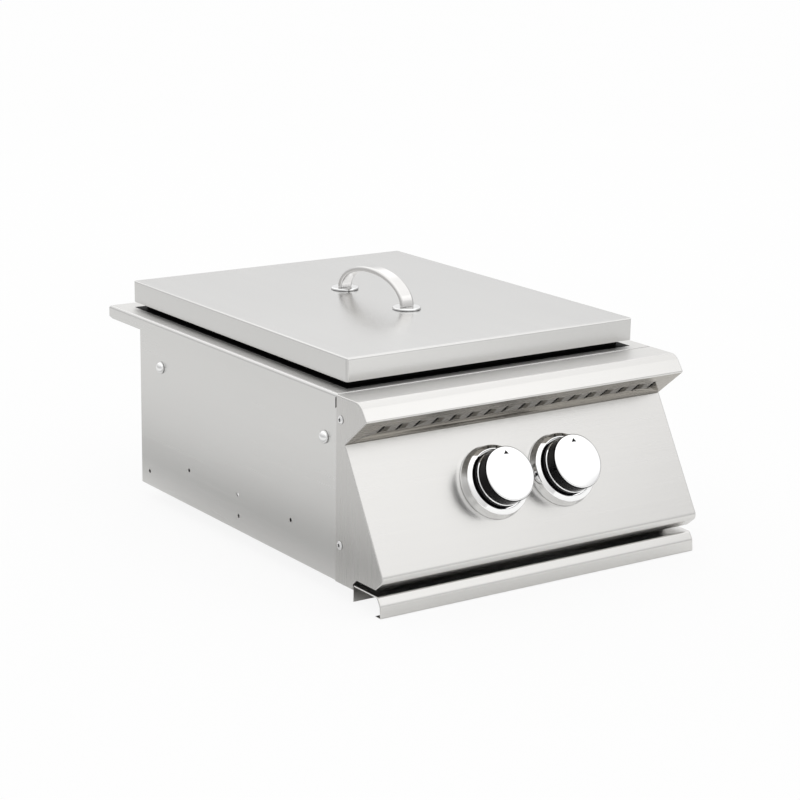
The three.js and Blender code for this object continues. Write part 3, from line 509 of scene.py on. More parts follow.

# %% [markdown]
# ## Brushed sheet
#
# Stainless sheet is ground with a belt, so its surface is millions of fine hairs along one direction. They
# are far finer than a pixel here, so what the eye sees is a soft, slightly streaky mirror. A noise stretched
# along the grain gives the streaks, a much finer one the hairs, and a broad one the uneven polish of a large
# sheet. The sheet under the visor is painted darker and browner as painted shade, and the soft one, on the
# deck's top, is duller.

# %% A finish and its parts
def finish_tree(name):
    material = bpy.data.materials.new(name)
    material.use_nodes = True
    material.node_tree.nodes.clear()
    return material, Tree(material.node_tree)


def surface(tree, values):
    shader = tree.add("ShaderNodeBsdfPrincipled", None, values)
    tree.add("ShaderNodeOutputMaterial", None, {0: shader})


def grain(tree, scale, detail=3.0, roughness=0.55):
    """Noise on the piece's own place in metres, stretched by a scale for each axis."""
    place = tree.add("ShaderNodeTexCoord", output="Object")
    return tree.add("ShaderNodeTexNoise", None, {
        "Vector": tree.add("ShaderNodeMapping", None, {"Vector": place, "Scale": scale}),
        "Scale": 1.0, "Detail": detail, "Roughness": roughness})


def between(tree, first, second, factor):
    return tree.mixed(factor, (*first, 1), (*second, 1))


def tinted(shade, share):
    return tuple(value * share for value in shade)


def relief(tree, height, strength, depth):
    return tree.add("ShaderNodeBump", None, {"Strength": strength, "Distance": depth, "Height": height})


print("finishes can be mixed")

# %% Brushed stainless
def along_grain(axis, along, across):
    """A scale for each axis: one along the grain and another across it."""
    return tuple(along if letter == axis else across for letter in "xyz")


def brushed(name, shade, axis, roughness):
    """Sheet ground along one axis of the frame."""
    material, tree = finish_tree(name)
    hairs = grain(tree, along_grain(axis, 9, 2600))
    streaks = grain(tree, along_grain(axis, 2.5, 260), 2.0)
    polish = grain(tree, (7, 7, 7), 2.0)
    surface(tree, {
        "Base Color": between(tree, tinted(shade, 0.96), tinted(shade, 1.03), streaks * 0.7 + hairs * 0.3),
        "Metallic": 1.0,
        "Roughness": (hairs - 0.5) * 0.1 + (streaks - 0.5) * 0.05 + (polish - 0.5) * 0.05 + roughness,
        "Normal": relief(tree, hairs + streaks * 0.5, 0.05, 0.0002)})
    return material


steel_along_x = brushed("stainless_grain_across", (0.66, 0.652, 0.638), "x", 0.25)
steel_along_y = brushed("stainless_grain_deep", (0.66, 0.655, 0.645), "y", 0.25)
steel_lid = brushed("stainless_lid", (0.645, 0.64, 0.63), "y", 0.2)
steel_upright = brushed("stainless_grain_upright", (0.58, 0.572, 0.56), "z", 0.28)
inner_steel = brushed("inner_stainless", (0.56, 0.552, 0.54), "y", 0.36)
# painted shade: the sheet under the visor is darker and browner because it lies in shadow
under_visor_shade_steel = brushed("stainless_painted_shade", (0.32, 0.3, 0.268), "x", 0.27)
steel_soft = brushed("stainless_soft", (0.66, 0.653, 0.64), "x", 0.42)
print("sheet finishes: 7")

# %% [markdown]
# The bodies of the knobs are black enamel. The collar under the lid, the ground round it and the inside of
# the visor are painted black as painted shade, since they lie in deep shadow. Black enamel is slightly wavy,
# glossy on the knobs and dull on the painted shade.

# %% Black enamel
def enamel(name, shade, roughness, bump, gloss):
    material, tree = finish_tree(name)
    peel = grain(tree, (500,) * 3, 2.0)
    smear = grain(tree, (45,) * 3, 3.0)
    surface(tree, {
        "Base Color": between(tree, shade, tinted(shade, 1.5), smear),
        "Roughness": smear * 0.06 + roughness,
        "Specular IOR Level": gloss,
        "Normal": relief(tree, peel, bump, 0.0001)})
    return material


gloss_black = enamel("gloss_black", (0.003, 0.003, 0.0035), 0.08, 0.04, 0.07)
# painted shade: a dull black for places in deep shadow under the lid and inside the visor
painted_shade_black = enamel("painted_shade_black", (0.004, 0.004, 0.004), 0.5, 0.1, 0.05)
print("black finishes: 2")

# %% [markdown]
# ## The deck
#
# The deck is one sheet: a flat top with a punched opening, a raised collar round it that keeps rain out, and
# flanges bent down along both sides and the rear. Its rear overhang bears on the worktop. It is drafted as a
# bent tray turned upside down, hollowed by the same shape one sheet smaller.

# %% Deck
deck_half = 171.5
seam_y = 13.5
deck_front, deck_rear = seam_y + 0.3, 424.3
deck_top = 164.6
flange_bottom = deck_top - 12.4
flange_front = seam_y + 1.8
bend_radius, front_radius = 3, 0.6
relief_y, relief_z = deck_rear - 6.3, flange_bottom + 1.5
lid_half = 155.3
lid_front, lid_rear = 22.9, 403.2
collar_inset = 9.6
collar_top = 182.5
squarely = 0.99


def under_lid(margin, zs):
    """A block that keeps a margin inside the lid's outline."""
    return block((margin - lid_half, lid_half - margin), (lid_front + margin, lid_rear - margin), zs)


def deck_finish(face):
    """The collar is painted black as painted shade (1), the flat top dull (2); the bends and flanges are
    brushed (0).
    """
    # the collar lies in the lid's shadow, so its black is painted shade
    if face.center.z > deck_top + 0.4:
        return 1
    return 2 if face.center.z > deck_top - 0.1 and face.normal.z > squarely else 0


deck = cut(
    folded_tray((-deck_half, deck_half), (deck_front, deck_rear), (flange_bottom, deck_top), bend_radius,
                front_radius),
    folded_tray((sheet - deck_half, deck_half - sheet), (deck_front - overrun, deck_rear - sheet),
                (flange_bottom - overrun, deck_top - sheet), bend_radius - sheet, 0),
    block((-past_sides, past_sides), (deck_front - overrun, flange_front),
          (flange_bottom - overrun, deck_top - bend_radius)),
    prism([(relief_y, flange_bottom), (relief_y, flange_bottom - overrun),
           (deck_rear + overrun, flange_bottom - overrun), (deck_rear + overrun, relief_z),
           (deck_rear, relief_z)], "x", -past_sides, past_sides))
deck = cut(joined(deck, under_lid(collar_inset, (deck_top - sheet / 2, collar_top))),
           under_lid(collar_inset + sheet, (flange_bottom, collar_top + overrun)))
handed_over(painted(deck, (steel_along_y, painted_shade_black, steel_soft), deck_finish), "deck_skin", None, "frame",
            ["deck"])

# %% [markdown]
# The ground round the collar is painted black too, almost up to the edge of the lid, as painted shade for the
# deep shadow under it. It is a coat of black paint standing for that shade, so it is made as a ring of hardly
# any thickness that lies on the deck.

# %% Painted shade round the collar
ground_margin, coat = 0.8, 0.12
# painted shade: a thin black ring on the deck under the edge of the lid
painted_shade_ground = cut(under_lid(ground_margin, (deck_top - coat, deck_top + coat)),
                   under_lid(collar_inset - coat, (deck_top - overrun, deck_top + overrun)))
handed_over(painted_shade_ground, "deck_painted_shade_ground", painted_shade_black, "frame", ["deck"], 0.03)

# %% [markdown]
# ## The lid
#
# The lid is a shallow cap, folded on all four sides and ground smooth at its corners. Its long folds catch
# the light as one thin bright line, so their radius matters more than anything else on it.

# %% Lid
lid_bottom, lid_top = 170.3, 191
lid_radius, lid_front_radius = 1.6, 2.0
lid_corner = 2.2
lid = cut(
    folded_tray((-lid_half, lid_half), (lid_front, lid_rear), (lid_bottom, lid_top), lid_radius,
                lid_front_radius, lid_corner),
    folded_tray((sheet - lid_half, lid_half - sheet), (lid_front + sheet, lid_rear - sheet),
                (lid_bottom - overrun, lid_top - sheet), lid_radius - sheet, lid_front_radius - sheet,
                lid_corner - sheet))
handed_over(lid, "lid_skin", steel_lid, "lid", ["lid_shell"], 0.3)

# %% [markdown]
# ## Polished metal
#
# Chrome is a clean mirror, so its finish is nearly all surroundings. A trace of haze and a few wiping marks
# keep it from looking like a computer's mirror. The bow handle is polished less, so its highlight is satin.

# %% Chrome and satin steel
def polished(name, shade, roughness, haze):
    material, tree = finish_tree(name)
    cloud = grain(tree, (60,) * 3, 4.0)
    wipes = grain(tree, (40, 900, 900), 2.0)
    surface(tree, {
        "Base Color": between(tree, tinted(shade, 0.97), shade, cloud),
        "Metallic": 1.0,
        "Roughness": cloud * haze + wipes * haze * 0.5 + roughness,
        "Normal": relief(tree, wipes, 0.02, 0.0001)})
    return material


chrome = polished("chrome", (0.88, 0.88, 0.88), 0.03, 0.05)
satin = polished("satin_steel", (0.7, 0.69, 0.68), 0.16, 0.06)
print("polished finishes: 2")

# %% [markdown]
# ## The bow handle
#
# A bar with rounded edges is bent into half an ellipse and screwed on through two chrome rosettes. The shape
# follows a path, so it is swept: a rounded section is set up at each step between the outer and the inner
# curve.

# %% Handle
lid_middle = (lid_front + lid_rear) / 2
handle_span, handle_rise = 105, 27.6
handle_thickness, handle_width, handle_edge = 5, 14, 2.1
handle_bottom = 193.4
handle_steps = 72


def bow():
    half_x, half_t = handle_width / 2, handle_thickness / 2
    section = rounded(rectangle((-half_x, half_x), (-half_t, half_t), handle_edge))
    points = []
    for step in range(handle_steps + 1):
        angle = math.pi * step / handle_steps
        outer = Vector(((handle_span / 2 + half_t) * math.cos(angle), handle_rise * math.sin(angle)))
        inner = Vector(((handle_span / 2 - half_t) * math.cos(angle),
                        (handle_rise - handle_thickness) * math.sin(angle)))
        for x, t in section:
            place = inner.lerp(outer, t / handle_thickness + 0.5)
            points.append((x, lid_middle + place.x, handle_bottom + place.y))
    return skinned(points, len(section))


handed_over(bow(), "bow_handle", satin, "lid", ["lid_handle"], 0.2)

# %% Rosettes
rosette_radius, rosette_height, rosette_edge, rosette_gap = 13.3, 1.8, 1.0, 0.3
for place, foot in (("front", lid_middle - handle_span / 2), ("rear", lid_middle + handle_span / 2)):
    disc = turned(rounded([(0, 0), (rosette_radius, 0), (rosette_radius, rosette_height, rosette_edge),
                           (0, rosette_height)]), 72)
    handed_over(moved(disc, (0, foot, lid_top + rosette_gap)), f"rosette_disc_{place}", chrome, "lid",
                [f"rosette_{place}"], 0.1)

# %% [markdown]
# ## The fascia
#
# Visor, control panel and bottom return are one long folded sheet. Its section is a single path with five
# bends. A fine groove marks the crease under the visor, and two round holes let the knobs' stems through.

# %% Fascia path
tilt = math.radians(29.9)
crease_z = 123.6
nose_y, lip = -21.6, (-32.2, 149.5)
foot_z, return_z = 19.5, 9.3
return_front, return_rear = -47.4, -19
strip_top = deck_top - 0.6
fascia_path = rounded([
    (seam_y, strip_top), (nose_y, strip_top, 12), (*lip, 1.6), (0, crease_z, 0.3),
    (-(crease_z - foot_z) * math.tan(tilt), foot_z, 6), (return_front, return_z, 1.5),
    (return_rear, return_z)])
fascia = folded_sheet(fascia_path, deck_half)

under_slope = math.atan2(lip[1] - crease_z, -lip[0])
under_out = Vector((-math.cos(under_slope), math.sin(under_slope)))
under_down = Vector((-math.sin(under_slope), -math.cos(under_slope)))
crease = Vector((0, crease_z))
groove_width, groove_depth, groove_reach = 0.5, 0.75, 1.5
groove = [crease + under_out * groove_reach, crease - under_out * groove_depth,
          crease - under_out * groove_depth + under_down * groove_width,
          crease + under_out * groove_reach + under_down * groove_width]
fascia = cut(fascia, prism([tuple(corner) for corner in groove], "x", -past_sides, past_sides))

knob_x, knob_down, neck_hole = 36.8, 54, 8.3
knob_y, knob_z = -knob_down * math.sin(tilt), crease_z - knob_down * math.cos(tilt)
outward = Vector((0, -math.cos(tilt), math.sin(tilt)))
fascia = cut(fascia, *[moved(peg(neck_hole, -overrun, overrun, 48), (x, knob_y, knob_z), outward)
                       for x in (-knob_x, knob_x)])
print("fascia path:", len(fascia_path), "points")

# %% [markdown]
# The slots repeat along a line, which is work for Geometry Nodes: one slot cutter is drawn, an instance of
# it is set on each point of a line, and the row is cut from the sheet. The tree's inputs are the numbers on
# a drawing: how many slots, over what span, how long and how wide. The slots let warm air out.

# %% A recipe for shapes
class Recipe(Tree):
    """A Geometry Nodes tree with named inputs, run once on a draft."""

    def __init__(self, name, inputs):
        super().__init__(bpy.data.node_groups.new(name, "GeometryNodeTree"))
        face = self.nodes.interface
        face.new_socket("Geometry", in_out="OUTPUT", socket_type="NodeSocketGeometry")
        face.new_socket("Geometry", in_out="INPUT", socket_type="NodeSocketGeometry")
        self.values = {}
        for label, (kind, value) in inputs.items():
            item = face.new_socket(label, in_out="INPUT", socket_type=f"NodeSocket{kind}")
            self.values[item.identifier] = value
        self.entry = self.nodes.nodes.new("NodeGroupInput")

    def given(self, label):
        return Signal(self, self.entry.outputs[label])

    def ends(self, geometry, finish):
        """Closes the tree: instances are made real and the finish is set."""
        real = self.add("GeometryNodeRealizeInstances", None, {0: geometry})
        dressed = self.add("GeometryNodeSetMaterial", None, {"Geometry": real, "Material": finish})
        self.add("NodeGroupOutput", None, {0: dressed})

    def run(self, draft):
        modifier = draft.modifiers.new("recipe", "NODES")
        modifier.node_group = self.nodes
        for identifier, value in self.values.items():
            modifier[identifier] = value
        return settled(draft)


print("recipes are ready")

# %% Slots in the visor
slot_row = 22
slots = Recipe("visor_slots", {
    "Slots": ("Int", 17), "Span": ("Float", 294.1), "Slot length": ("Float", 12.7),
    "Slot width": ("Float", 2.8), "Punch depth": ("Float", 8.0), "Slope": ("Float", -under_slope),
    "Row y": ("Float", -slot_row * math.cos(under_slope)),
    "Row z": ("Float", crease_z + slot_row * math.sin(under_slope))})
slot_outline = slots.add("GeometryNodeFilletCurve", {"mode": "POLY"}, {
    "Curve": slots.add("GeometryNodeCurvePrimitiveQuadrilateral", None, {
        "Width": slots.given("Slot width"), "Height": slots.given("Slot length")}),
    "Count": 6, "Radius": slots.given("Slot width") * 0.499})
slot_face = slots.add("GeometryNodeFillCurve", None, {0: slot_outline})
slot_walls = slots.add("GeometryNodeExtrudeMesh", None, {
    "Mesh": slot_face, "Offset Scale": slots.given("Punch depth")})
slot_punch = slots.add("GeometryNodeMergeByDistance", None, {
    "Geometry": slots.add("GeometryNodeJoinGeometry", None, {
        0: [slots.add("GeometryNodeFlipFaces", None, {0: slot_face}), slot_walls]}), "Distance": 0.001})
sunk = slots.add("ShaderNodeCombineXYZ", None, {"Z": slots.given("Punch depth") * -0.5})
centred = slots.add("GeometryNodeTransform", None, {"Geometry": slot_punch, "Translation": sunk})
tipped = slots.add("GeometryNodeTransform", None, {
    "Geometry": centred,
    "Rotation": slots.add("ShaderNodeCombineXYZ", None, {"X": slots.given("Slope")})})
row_ends = [slots.add("ShaderNodeCombineXYZ", None, {
    "X": slots.given("Span") * half, "Y": slots.given("Row y"), "Z": slots.given("Row z")})
    for half in (-0.5, 0.5)]
row = slots.add("GeometryNodeMeshLine", {"mode": "END_POINTS"}, {
    "Count": slots.given("Slots"), "Start Location": row_ends[0], "Offset": row_ends[1]})
punches = slots.add("GeometryNodeRealizeInstances", None, {
    0: slots.add("GeometryNodeInstanceOnPoints", None, {"Points": row, "Instance": tipped})})
slots.ends(slots.add("GeometryNodeMeshBoolean", {"operation": "DIFFERENCE", "solver": "EXACT"}, {
    "Mesh 1": slots.given("Geometry"), "Mesh 2": punches}), steel_along_x)
visor_middle, visor_depth = Vector((0, -12, 150)), 9


def fascia_finish(face):
    """Painted shade under the visor (1), painted black inside it (2), dull front strip (3) or brushed (0)."""
    to_middle = visor_middle - face.center
    # painted shade: faces inside the visor are black, those under it darker
    if face.center.z > crease_z and face.normal.dot(Vector((0, to_middle.y, to_middle.z))) > visor_depth:
        return 2
    if face.normal.dot(Vector((0, *under_down))) > squarely and lip[0] < face.center.y < 2:
        return 1
    return 3 if face.center.z > strip_top - 0.1 and face.normal.z > squarely else 0


fascia = painted(slots.run(fascia), (steel_along_x, under_visor_shade_steel, painted_shade_black, steel_soft), fascia_finish)
handed_over(fascia, "fascia_skin", None, "frame", ["fascia"])

# %% [markdown]
# ## Cheeks, side panels and rail
#
# Each cheek is a flat blank that closes the end of the fascia, so its outline is the fascia's path moved in
# by a little more than the sheet. One set of drills serves for its holes and for those of the side panels.
# The side panels are flat with round holes. The rail below hooks over the front of the island.

# %% Cheeks
rivet_y, rivet_zs = 6.8, (33.7, 143.7)
rivet_hole, drill_reach = 1.9, 9
toe_y, toe_z = -13.6, 4.9
cheek_gap = 0.03
cheek_outline = [*offset(fascia_path, sheet + cheek_gap), (return_rear, return_z), (toe_y, toe_z), (toe_y, 0),
                 (seam_y, 0)]


def drills(x, holes, sides):
    """Cutters along x for round holes, each given as radius, y and z."""
    return [moved(peg(radius, -drill_reach, drill_reach, sides), (x, y, z), (1, 0, 0))
            for radius, y, z in holes]


for hand, xs in (("left", (-deck_half, sheet - deck_half)), ("right", (deck_half - sheet, deck_half))):
    cheek = cut(prism(cheek_outline, "x", *xs),
                *drills(xs[0], [(rivet_hole, rivet_y, z) for z in rivet_zs], 24))
    handed_over(cheek, f"cheek_skin_{hand}", steel_upright, "frame", [f"cheek_{hand}"])

# %% Side panels
side_outer = 170.2
side_inner = side_outer - sheet
side_front, body_rear = seam_y - 11, 363.3
notch_ys = (seam_y - 0.3, seam_y + 2.1)
bolt_ys, bolt_z, bolt_hole = (33.6, 321.8), 122.7, 3.3
pilot_hole = 1.8
pilot_places = [(347.6, 14.2), (269.6, 34.2), (179.9, 33.9), (178.3, 13.7), (88.3, 34.1)]
side_holes = [(bolt_hole, y, bolt_z) for y in bolt_ys] + [(rivet_hole, rivet_y, z) for z in rivet_zs]
side_holes += [(pilot_hole, y, z) for y, z in pilot_places]
for hand, xs in (("left", (-side_outer, -side_inner)), ("right", (side_inner, side_outer))):
    panel = cut(block(xs, (side_front, body_rear), (0, deck_top - bend_radius)),
                block((xs[0] - sheet, xs[1] + sheet), notch_ys, (flange_bottom, deck_top)),
                *drills(xs[0], side_holes, 32))
    handed_over(panel, f"side_skin_{hand}", steel_along_y, "frame",
                [f"side_panel_{hand}"])

# %% Bottom rail
rail_path = rounded([(-14, -10.3), (-14, 4.3, 1.5), (-50.8, 4.3, 3), (-55.2, -2.7, 5), (-56.3, -13.7, 1.5),
                     (-48.3, -13.7)])
handed_over(folded_sheet(rail_path, deck_half), "rail_skin", steel_along_x, "frame",
            ["bottom_rail"])

# %% [markdown]
# ## Bolts and rivets
#
# Four domed bolts hold the cross bars inside the box, and four rivets hold the cheeks. They repeat in the
# same way on both sides, so one recipe sets either of them: a head is drafted once, and instances of it are
# set at two places on the left face, turned outwards, and at the same two on the right face.

# %% Heads on both faces
def on_both_faces(name, head, first, last, finish):
    """Two heads on each side of the body, at (x, y, z) places given for the right side."""
    recipe = Recipe(name, {"First": ("Vector", first), "Last": ("Vector", last)})
    heads = []
    for side in (-1.0, 1.0):
        ends = [recipe.add("ShaderNodeVectorMath", {"operation": "MULTIPLY"}, {
            0: recipe.given(label), 1: (side, 1.0, 1.0)}) for label in ("First", "Last")]
        places = recipe.add("GeometryNodeMeshLine", {"mode": "END_POINTS"}, {
            "Count": 2, "Start Location": ends[0], "Offset": ends[1]})
        heads.append(recipe.add("GeometryNodeInstanceOnPoints", None, {
            "Points": places, "Instance": recipe.given("Geometry"), "Rotation": (0, side * math.pi / 2, 0)}))
    recipe.ends(recipe.add("GeometryNodeJoinGeometry", None, {0: heads}), finish)
    return recipe.run(head)


print("one recipe sets bolts and rivets")

# %% Domed side bolts
bolt_radius, bolt_rise = 5.8, 4.5
head_gap = 0.3


def dome(radius, height, steps=10):
    return [(radius * math.cos(i / steps * math.pi / 2), height * math.sin(i / steps * math.pi / 2))
            for i in range(steps)]


bolt_head = joined(turned([(0, 0), *dome(bolt_radius, bolt_rise), (0, bolt_rise)], 48),
                   turned([(0, -9), (2.8, -9), (3, -8.7), (3, 1), (0, 1)], 32))
side_bolts = on_both_faces("side_bolts", bolt_head, *[(side_outer + head_gap, y, bolt_z) for y in bolt_ys],
                           chrome)
handed_over(side_bolts, "side_bolts", None, "frame",
            [f"side_bolt_{end}_{hand}" for end in ("front", "rear") for hand in ("left", "right")], 0.1)

# %% Cheek rivets
aluminium = polished("rivet_aluminium", (0.85, 0.85, 0.85), 0.22, 0.1)
rivet_radius, rivet_rise, rivet_recess = 3.8, 1.1, 1.5
rivet_dome = [(radius, height) for radius, height in dome(rivet_radius, rivet_rise)
              if radius > rivet_recess + 0.3]
rivet_head = turned([(0, -6.5), (2.4, -6.5), (2.4, -4.2), (1.85, -3.6), (1.85, 0), *rivet_dome,
                     (rivet_recess, 0.95), (rivet_recess, -3), (0, -3)], 48)
rivets = on_both_faces("cheek_rivets", rivet_head, *[(deck_half + head_gap, rivet_y, z) for z in rivet_zs],
                       aluminium)
handed_over(rivets, "cheek_rivets", None, "frame",
            [f"cheek_rivet_{end}_{hand}" for end in ("bottom", "top") for hand in ("left", "right")], 0.05)

# %% [markdown]
# ## Knobs and bezels
#
# Each knob is a black body with a chromed face and a small printed pointer, in a deep chrome bezel. Both are
# turned parts: their profiles are drawn as radius and height above the panel and revolved.

# %% Bezels
bezel_profile = rounded([
    (neck_hole, 0.3), (33.1, 0.3), (33.1, 2.2, 1.2), (31.3, 9.2, 1.6), (27.6, 11.2, 0.8), (26.6, 11.2, 0.45),
    (26.6, 1.5), (neck_hole, 1.5), (neck_hole, 0.3)])
for hand, x in (("left", -knob_x), ("right", knob_x)):
    ring = moved(turned(bezel_profile, 128), (x, knob_y, knob_z), outward)
    handed_over(ring, f"bezel_ring_{hand}", chrome, "frame", [f"bezel_{hand}"], 0.06)

# %% Knobs
knob_radius, knob_edge = 24.7, 1.9
knob_face, knob_crown = 29.2, 0.4
skirt_radius, skirt_top, skirt_chamfer = 25.5, 17.0, 0.7
stem_hole, stem_depth = 3.3, 22.2
pointer_at, pointer_half, pointer_height = 17.2, 2.5, 3.3
pointer_turn = math.radians(-4)


def knob_finish(face):
    """The face and the chamfer above the skirt are chrome (0), the rest of the body is black (1)."""
    on_chamfer = abs(face.center.z - skirt_top + skirt_chamfer / 2) < 0.2 and 0.4 < face.normal.z < 0.9
    return 0 if face.center.z > knob_face - 0.5 or on_chamfer else 1


def knob_shell():
    profile = rounded([
        (0, 9.2), (22.4, 9.2), (22.4, 6.1), (skirt_radius, 6.1, 0.4),
        (skirt_radius, skirt_top - skirt_chamfer, 0.3), (knob_radius, skirt_top),
        (knob_radius, knob_face, knob_edge), (17, knob_face + knob_crown * 0.6)])
    crown = [(8, knob_face + knob_crown * 0.92), (0, knob_face + knob_crown)]
    shell = cut(turned([*profile, *crown], 128), peg(stem_hole, 0, stem_depth, 32))
    return painted(shell, (chrome, gloss_black), knob_finish)


def pointer():
    """A printed triangle near the rim of the face, at the off position."""
    outline = [(-pointer_half, pointer_at), (pointer_half, pointer_at), (0, pointer_at + pointer_height)]
    mark = prism(outline, "z", knob_face - 0.4, knob_face + knob_crown * 0.8)
    mark.data.transform(Matrix.Rotation(pointer_turn, 4, "Z"))
    return mark


def on_slope(draft, x):
    """A draft made on z, with y up the slope, set on the panel."""
    up_slope = Vector((0, math.sin(tilt), math.cos(tilt)))
    turn = Matrix((Vector((1, 0, 0)), up_slope, outward)).transposed().to_4x4()
    draft.data.transform(Matrix.Translation((x, knob_y, knob_z)) @ turn)
    return draft


for hand, x in (("left", -knob_x), ("right", knob_x)):
    handed_over(on_slope(knob_shell(), x), f"knob_shell_{hand}", None, f"knob_{hand}",
                [f"knob_{hand}"], 0.05)
    handed_over(on_slope(pointer(), x), f"knob_pointer_{hand}", gloss_black, f"knob_{hand}",
                [f"knob_{hand}"], 0.02)

# %% [markdown]
# ## Under the lid
#
# With the lid off, two burners are seen in a stainless tray, each with a brass flame ring, a cast-iron cap
# and a cast-iron pot support. Cast iron gets a coarse, dull skin, brass a smoother, shinier one.

# %% Cast iron, brass and the other inner metals
def grainy(name, dark, light, metallic, roughness, scale, bump, depth):
    """A cast, plated or sprayed skin: speckled colour and a fine, even roughness."""
    material, tree = finish_tree(name)
    speckle = grain(tree, (scale,) * 3, 4.0)
    patch = grain(tree, (scale * 0.06,) * 3, 2.0)
    surface(tree, {
        "Base Color": between(tree, dark, light, speckle * 0.5 + patch * 0.5),
        "Metallic": metallic,
        "Roughness": (speckle - 0.5) * 0.14 + (patch - 0.5) * 0.1 + roughness,
        "Normal": relief(tree, speckle, bump, depth)})
    return material


cast_iron = grainy("black_cast_iron", (0.02, 0.02, 0.021), (0.05, 0.05, 0.05), 0.0, 0.5, 900, 0.35, 0.0004)
brass = grainy("brass", (0.6, 0.44, 0.18), (0.78, 0.6, 0.28), 1.0, 0.3, 300, 0.08, 0.0002)
cast_aluminium = grainy("cast_aluminium", (0.55, 0.55, 0.56), (0.68, 0.68, 0.69), 1.0, 0.48, 1100, 0.2,
                        0.0003)
zinc = grainy("zinc_plated_steel", (0.5, 0.52, 0.55), (0.68, 0.7, 0.72), 1.0, 0.34, 250, 0.06, 0.0002)
ceramic = grainy("white_ceramic", (0.8, 0.78, 0.73), (0.86, 0.84, 0.8), 0.0, 0.22, 200, 0.02, 0.0001)
silicone = grainy("red_silicone", (0.3, 0.06, 0.045), (0.4, 0.09, 0.07), 0.0, 0.55, 800, 0.1, 0.0002)
print("inner finishes: 6")

# %% [markdown]
# The ports of a flame ring repeat round a circle. A second recipe turns one cutter to each of them and cuts
# them from the turned ring in one go.

# %% Flame rings
burners = (("front", lid_middle - 88), ("rear", lid_middle + 88))
ring_bottom, ring_height = 161.3, 7.2
ring_inner, ring_outer = 34, 45
port_reach = 60.0


def flame_ring():
    ports = Recipe("flame_ports", {
        "Ports": ("Int", 14), "Port width": ("Float", 2.2), "Port depth": ("Float", 3.0),
        "Ring top": ("Float", ring_height)})
    order = ports.add("GeometryNodeInputIndex")
    turn = (order + 0.5) * 2 * math.pi / ports.given("Ports")
    circle = ports.add("GeometryNodeMeshLine", {"mode": "OFFSET"}, {
        "Count": ports.given("Ports"), "Offset": (0, 0, 0)})
    cutter = ports.add("GeometryNodeTransform", None, {
        "Geometry": ports.add("GeometryNodeMeshCube", None, {
            "Size": ports.add("ShaderNodeCombineXYZ", None, {
                "X": port_reach, "Y": ports.given("Port width"), "Z": ports.given("Port depth") * 2})}),
        "Translation": ports.add("ShaderNodeCombineXYZ", None, {
            "X": port_reach / 2, "Z": ports.given("Ring top")})})
    spokes = ports.add("GeometryNodeRealizeInstances", None, {
        0: ports.add("GeometryNodeInstanceOnPoints", None, {
            "Points": circle, "Instance": cutter,
            "Rotation": ports.add("ShaderNodeCombineXYZ", None, {"Z": turn})})})
    ports.ends(ports.add("GeometryNodeMeshBoolean", {"operation": "DIFFERENCE", "solver": "EXACT"}, {
        "Mesh 1": ports.given("Geometry"), "Mesh 2": spokes}), brass)
    section = rectangle((ring_inner, ring_outer), (0, ring_height))
    return ports.run(turned([*section, section[0]], 112))


for place, y in burners:
    handed_over(moved(flame_ring(), (0, y, ring_bottom)), f"flame_ring_cut_{place}", None, "frame",
                [f"flame_ring_{place}"], 0.2)

# %% Burner caps
cap_bottom = 168.8
cap_profile = rounded([(0, 0), (30.3, 0), (30.3, -2.5), (33.7, -2.5, 0.4), (33.7, 0), (43.5, 0, 0.5),
                       (43.5, 1.5, 0.9), (40, 3.5, 2.5), (22, 3.9)]) + [(10, 4.15), (0, 4.2)]
for place, y in burners:
    cap = moved(turned(cap_profile, 112), (0, y, cap_bottom))
    handed_over(cap, f"cap_cast_{place}", cast_iron, "frame", [f"burner_cap_{place}"], 0.2)

# %% [markdown]
# A burner base is one casting: a bowl on a throat, with a mixing tube that leads back to the gas jet. It is
# turned and then joined to its tube, as the foundry's pattern would be.

# %% Burner bases
base_bottom, bowl_bottom, bowl_top, tube_top = 132.3, 154.3, 161, 153
throat_bottom, throat_radius = 137, 9.5
tube_z = (base_bottom + tube_top) / 2
tube_radius = (tube_top - base_bottom) / 2 - 0.3
tube_length, tube_wall = 59, 2
shutter_half = 4.5


def burner_base():
    casting = turned([(0, 128.8), (4, 128.8), (4, base_bottom), (14, base_bottom), (14, bowl_bottom),
                      (44, bowl_bottom), (44, bowl_top), (37, bowl_top), (37, bowl_bottom + 2.2),
                      (throat_radius, bowl_bottom + 2.2), (throat_radius, throat_bottom),
                      (0, throat_bottom)], 112)
    pipe, bore = [moved(peg(radius, 0, length, 64), (0, 0, tube_z), (0, -1, 0)) for radius, length in (
        (tube_radius, tube_length), (tube_radius - tube_wall, tube_length + overrun))]
    throat = peg(throat_radius, throat_bottom, bowl_top, 64)
    air = block((-14, 14), (-54, -46), (tube_z - shutter_half, tube_z + shutter_half))
    return cut(joined(casting, pipe), bore, throat, air)


for place, y in burners:
    handed_over(moved(burner_base(), (0, y, 0)), f"base_cast_{place}", cast_aluminium, "frame",
                [f"burner_base_{place}"], 0.25)

# %% Pot supports
support_bottom, support_top = 154.3, 184.5
support_x, support_y, finger = 136.0, 84.3, 24
bar, bar_height = 8, 9


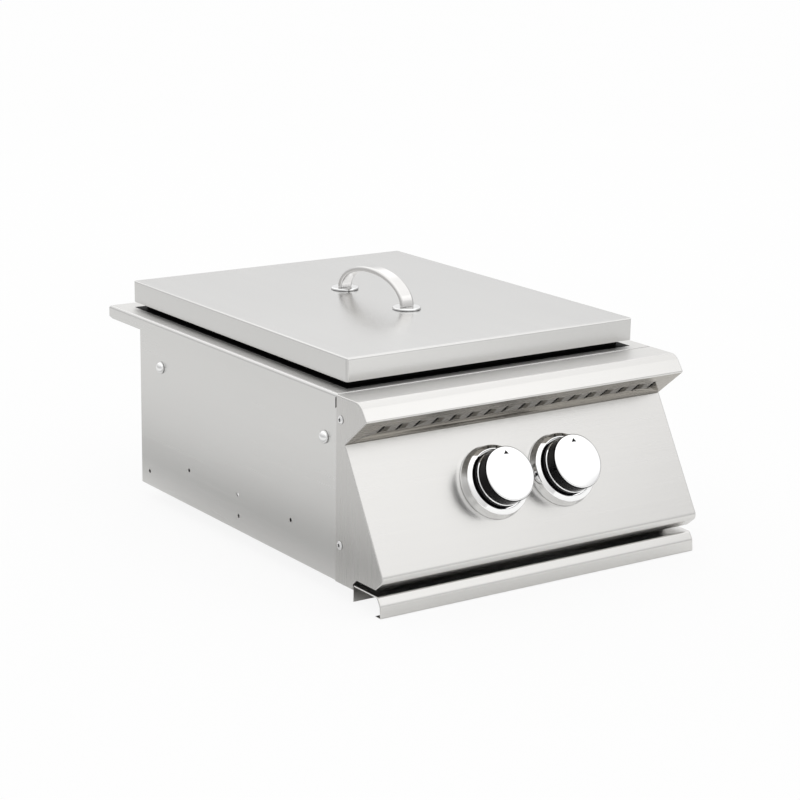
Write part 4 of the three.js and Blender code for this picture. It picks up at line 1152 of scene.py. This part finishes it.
def pot_support():
    """A cast frame with four fingers and four legs, its edges rounded as a casting's are."""
    half = bar / 2
    zs = (support_top - bar_height, support_top)
    grate = cut(block((-support_x, support_x), (-support_y, support_y), zs),
                block((bar - support_x, support_x - bar), (bar - support_y, support_y - bar), (160, 200)))
    arms = [block(xs, (-half, half), zs) for xs in ((2 - support_x, -finger), (finger, support_x - 2))]
    arms += [block((-half, half), ys, zs) for ys in ((2 - support_y, -finger), (finger, support_y - 2))]
    legs = [block((x - half, x + half), (y - half, y + half), (support_bottom, support_top - 2))
            for x in (half - support_x, support_x - half) for y in (half - support_y, support_y - half)]
    return joined(grate, *arms, *legs)


for place, y in burners:
    handed_over(moved(pot_support(), (0, y, 0)), f"grate_cast_{place}", cast_iron, "frame",
                [f"pot_support_{place}"], 0.9)

# %% [markdown]
# A spark electrode is a steel pin in a glazed ceramic sleeve with a flange.

# %% Electrodes
electrode_out = 37.5
for (place, y), x in zip(burners, (-electrode_out, electrode_out)):
    sleeve = turned(rounded([(0, 136), (4, 136), (4, 154.3), (6, 154.3), (6, 156.9, 0.5), (4, 156.9),
                             (4, 166, 0.8), (0, 166)]), 48)
    pin = joined(peg(1.1, 161, 171.5, 24),
                 moved(peg(1.1, 0, 5, 24), (0, 0, 170.4), (-math.copysign(1, x), 1, 0)))
    for piece, name, finish in ((sleeve, "sleeve", ceramic), (pin, "pin", zinc)):
        handed_over(moved(piece, (x, y - electrode_out, 0)), f"electrode_{name}_{place}", finish, "frame",
                    [f"electrode_{place}"], 0.08)

# %% [markdown]
# ## The pieces that keep their own shape
#
# Tray, carrier, cross bars, valves, gas line, floor and rear panel are flat or plain round work, and their
# solids already have the right shape. They only need their finish, which follows the record's material
# slots.

# %% Dress the remaining solids
slot_finishes = {
    "brushed_stainless": steel_along_x, "inner_stainless": inner_steel, "satin_handle": satin,
    "chrome": chrome, "rivet_aluminium": aluminium, "brass": brass, "cast_aluminium": cast_aluminium,
    "black_cast_iron": cast_iron, "zinc_plated_steel": zinc, "white_ceramic": ceramic,
    "red_silicone": silicone}
node_slots = {part["node"]: part["material_slot"] for part in frame["record"]["subparts"]}
for node, piece in frame["nodes"].items():
    for place in piece.material_slots:
        place.material = slot_finishes[node_slots[node]]
print("pieces made:", len(made), "- solids dressed:", len(frame["nodes"]))

# %% [markdown]
# ## Finish
#
# The picture is shown as it is, without a film look.

# %% Show it plainly
bpy.context.scene.view_settings.view_transform = "Standard"
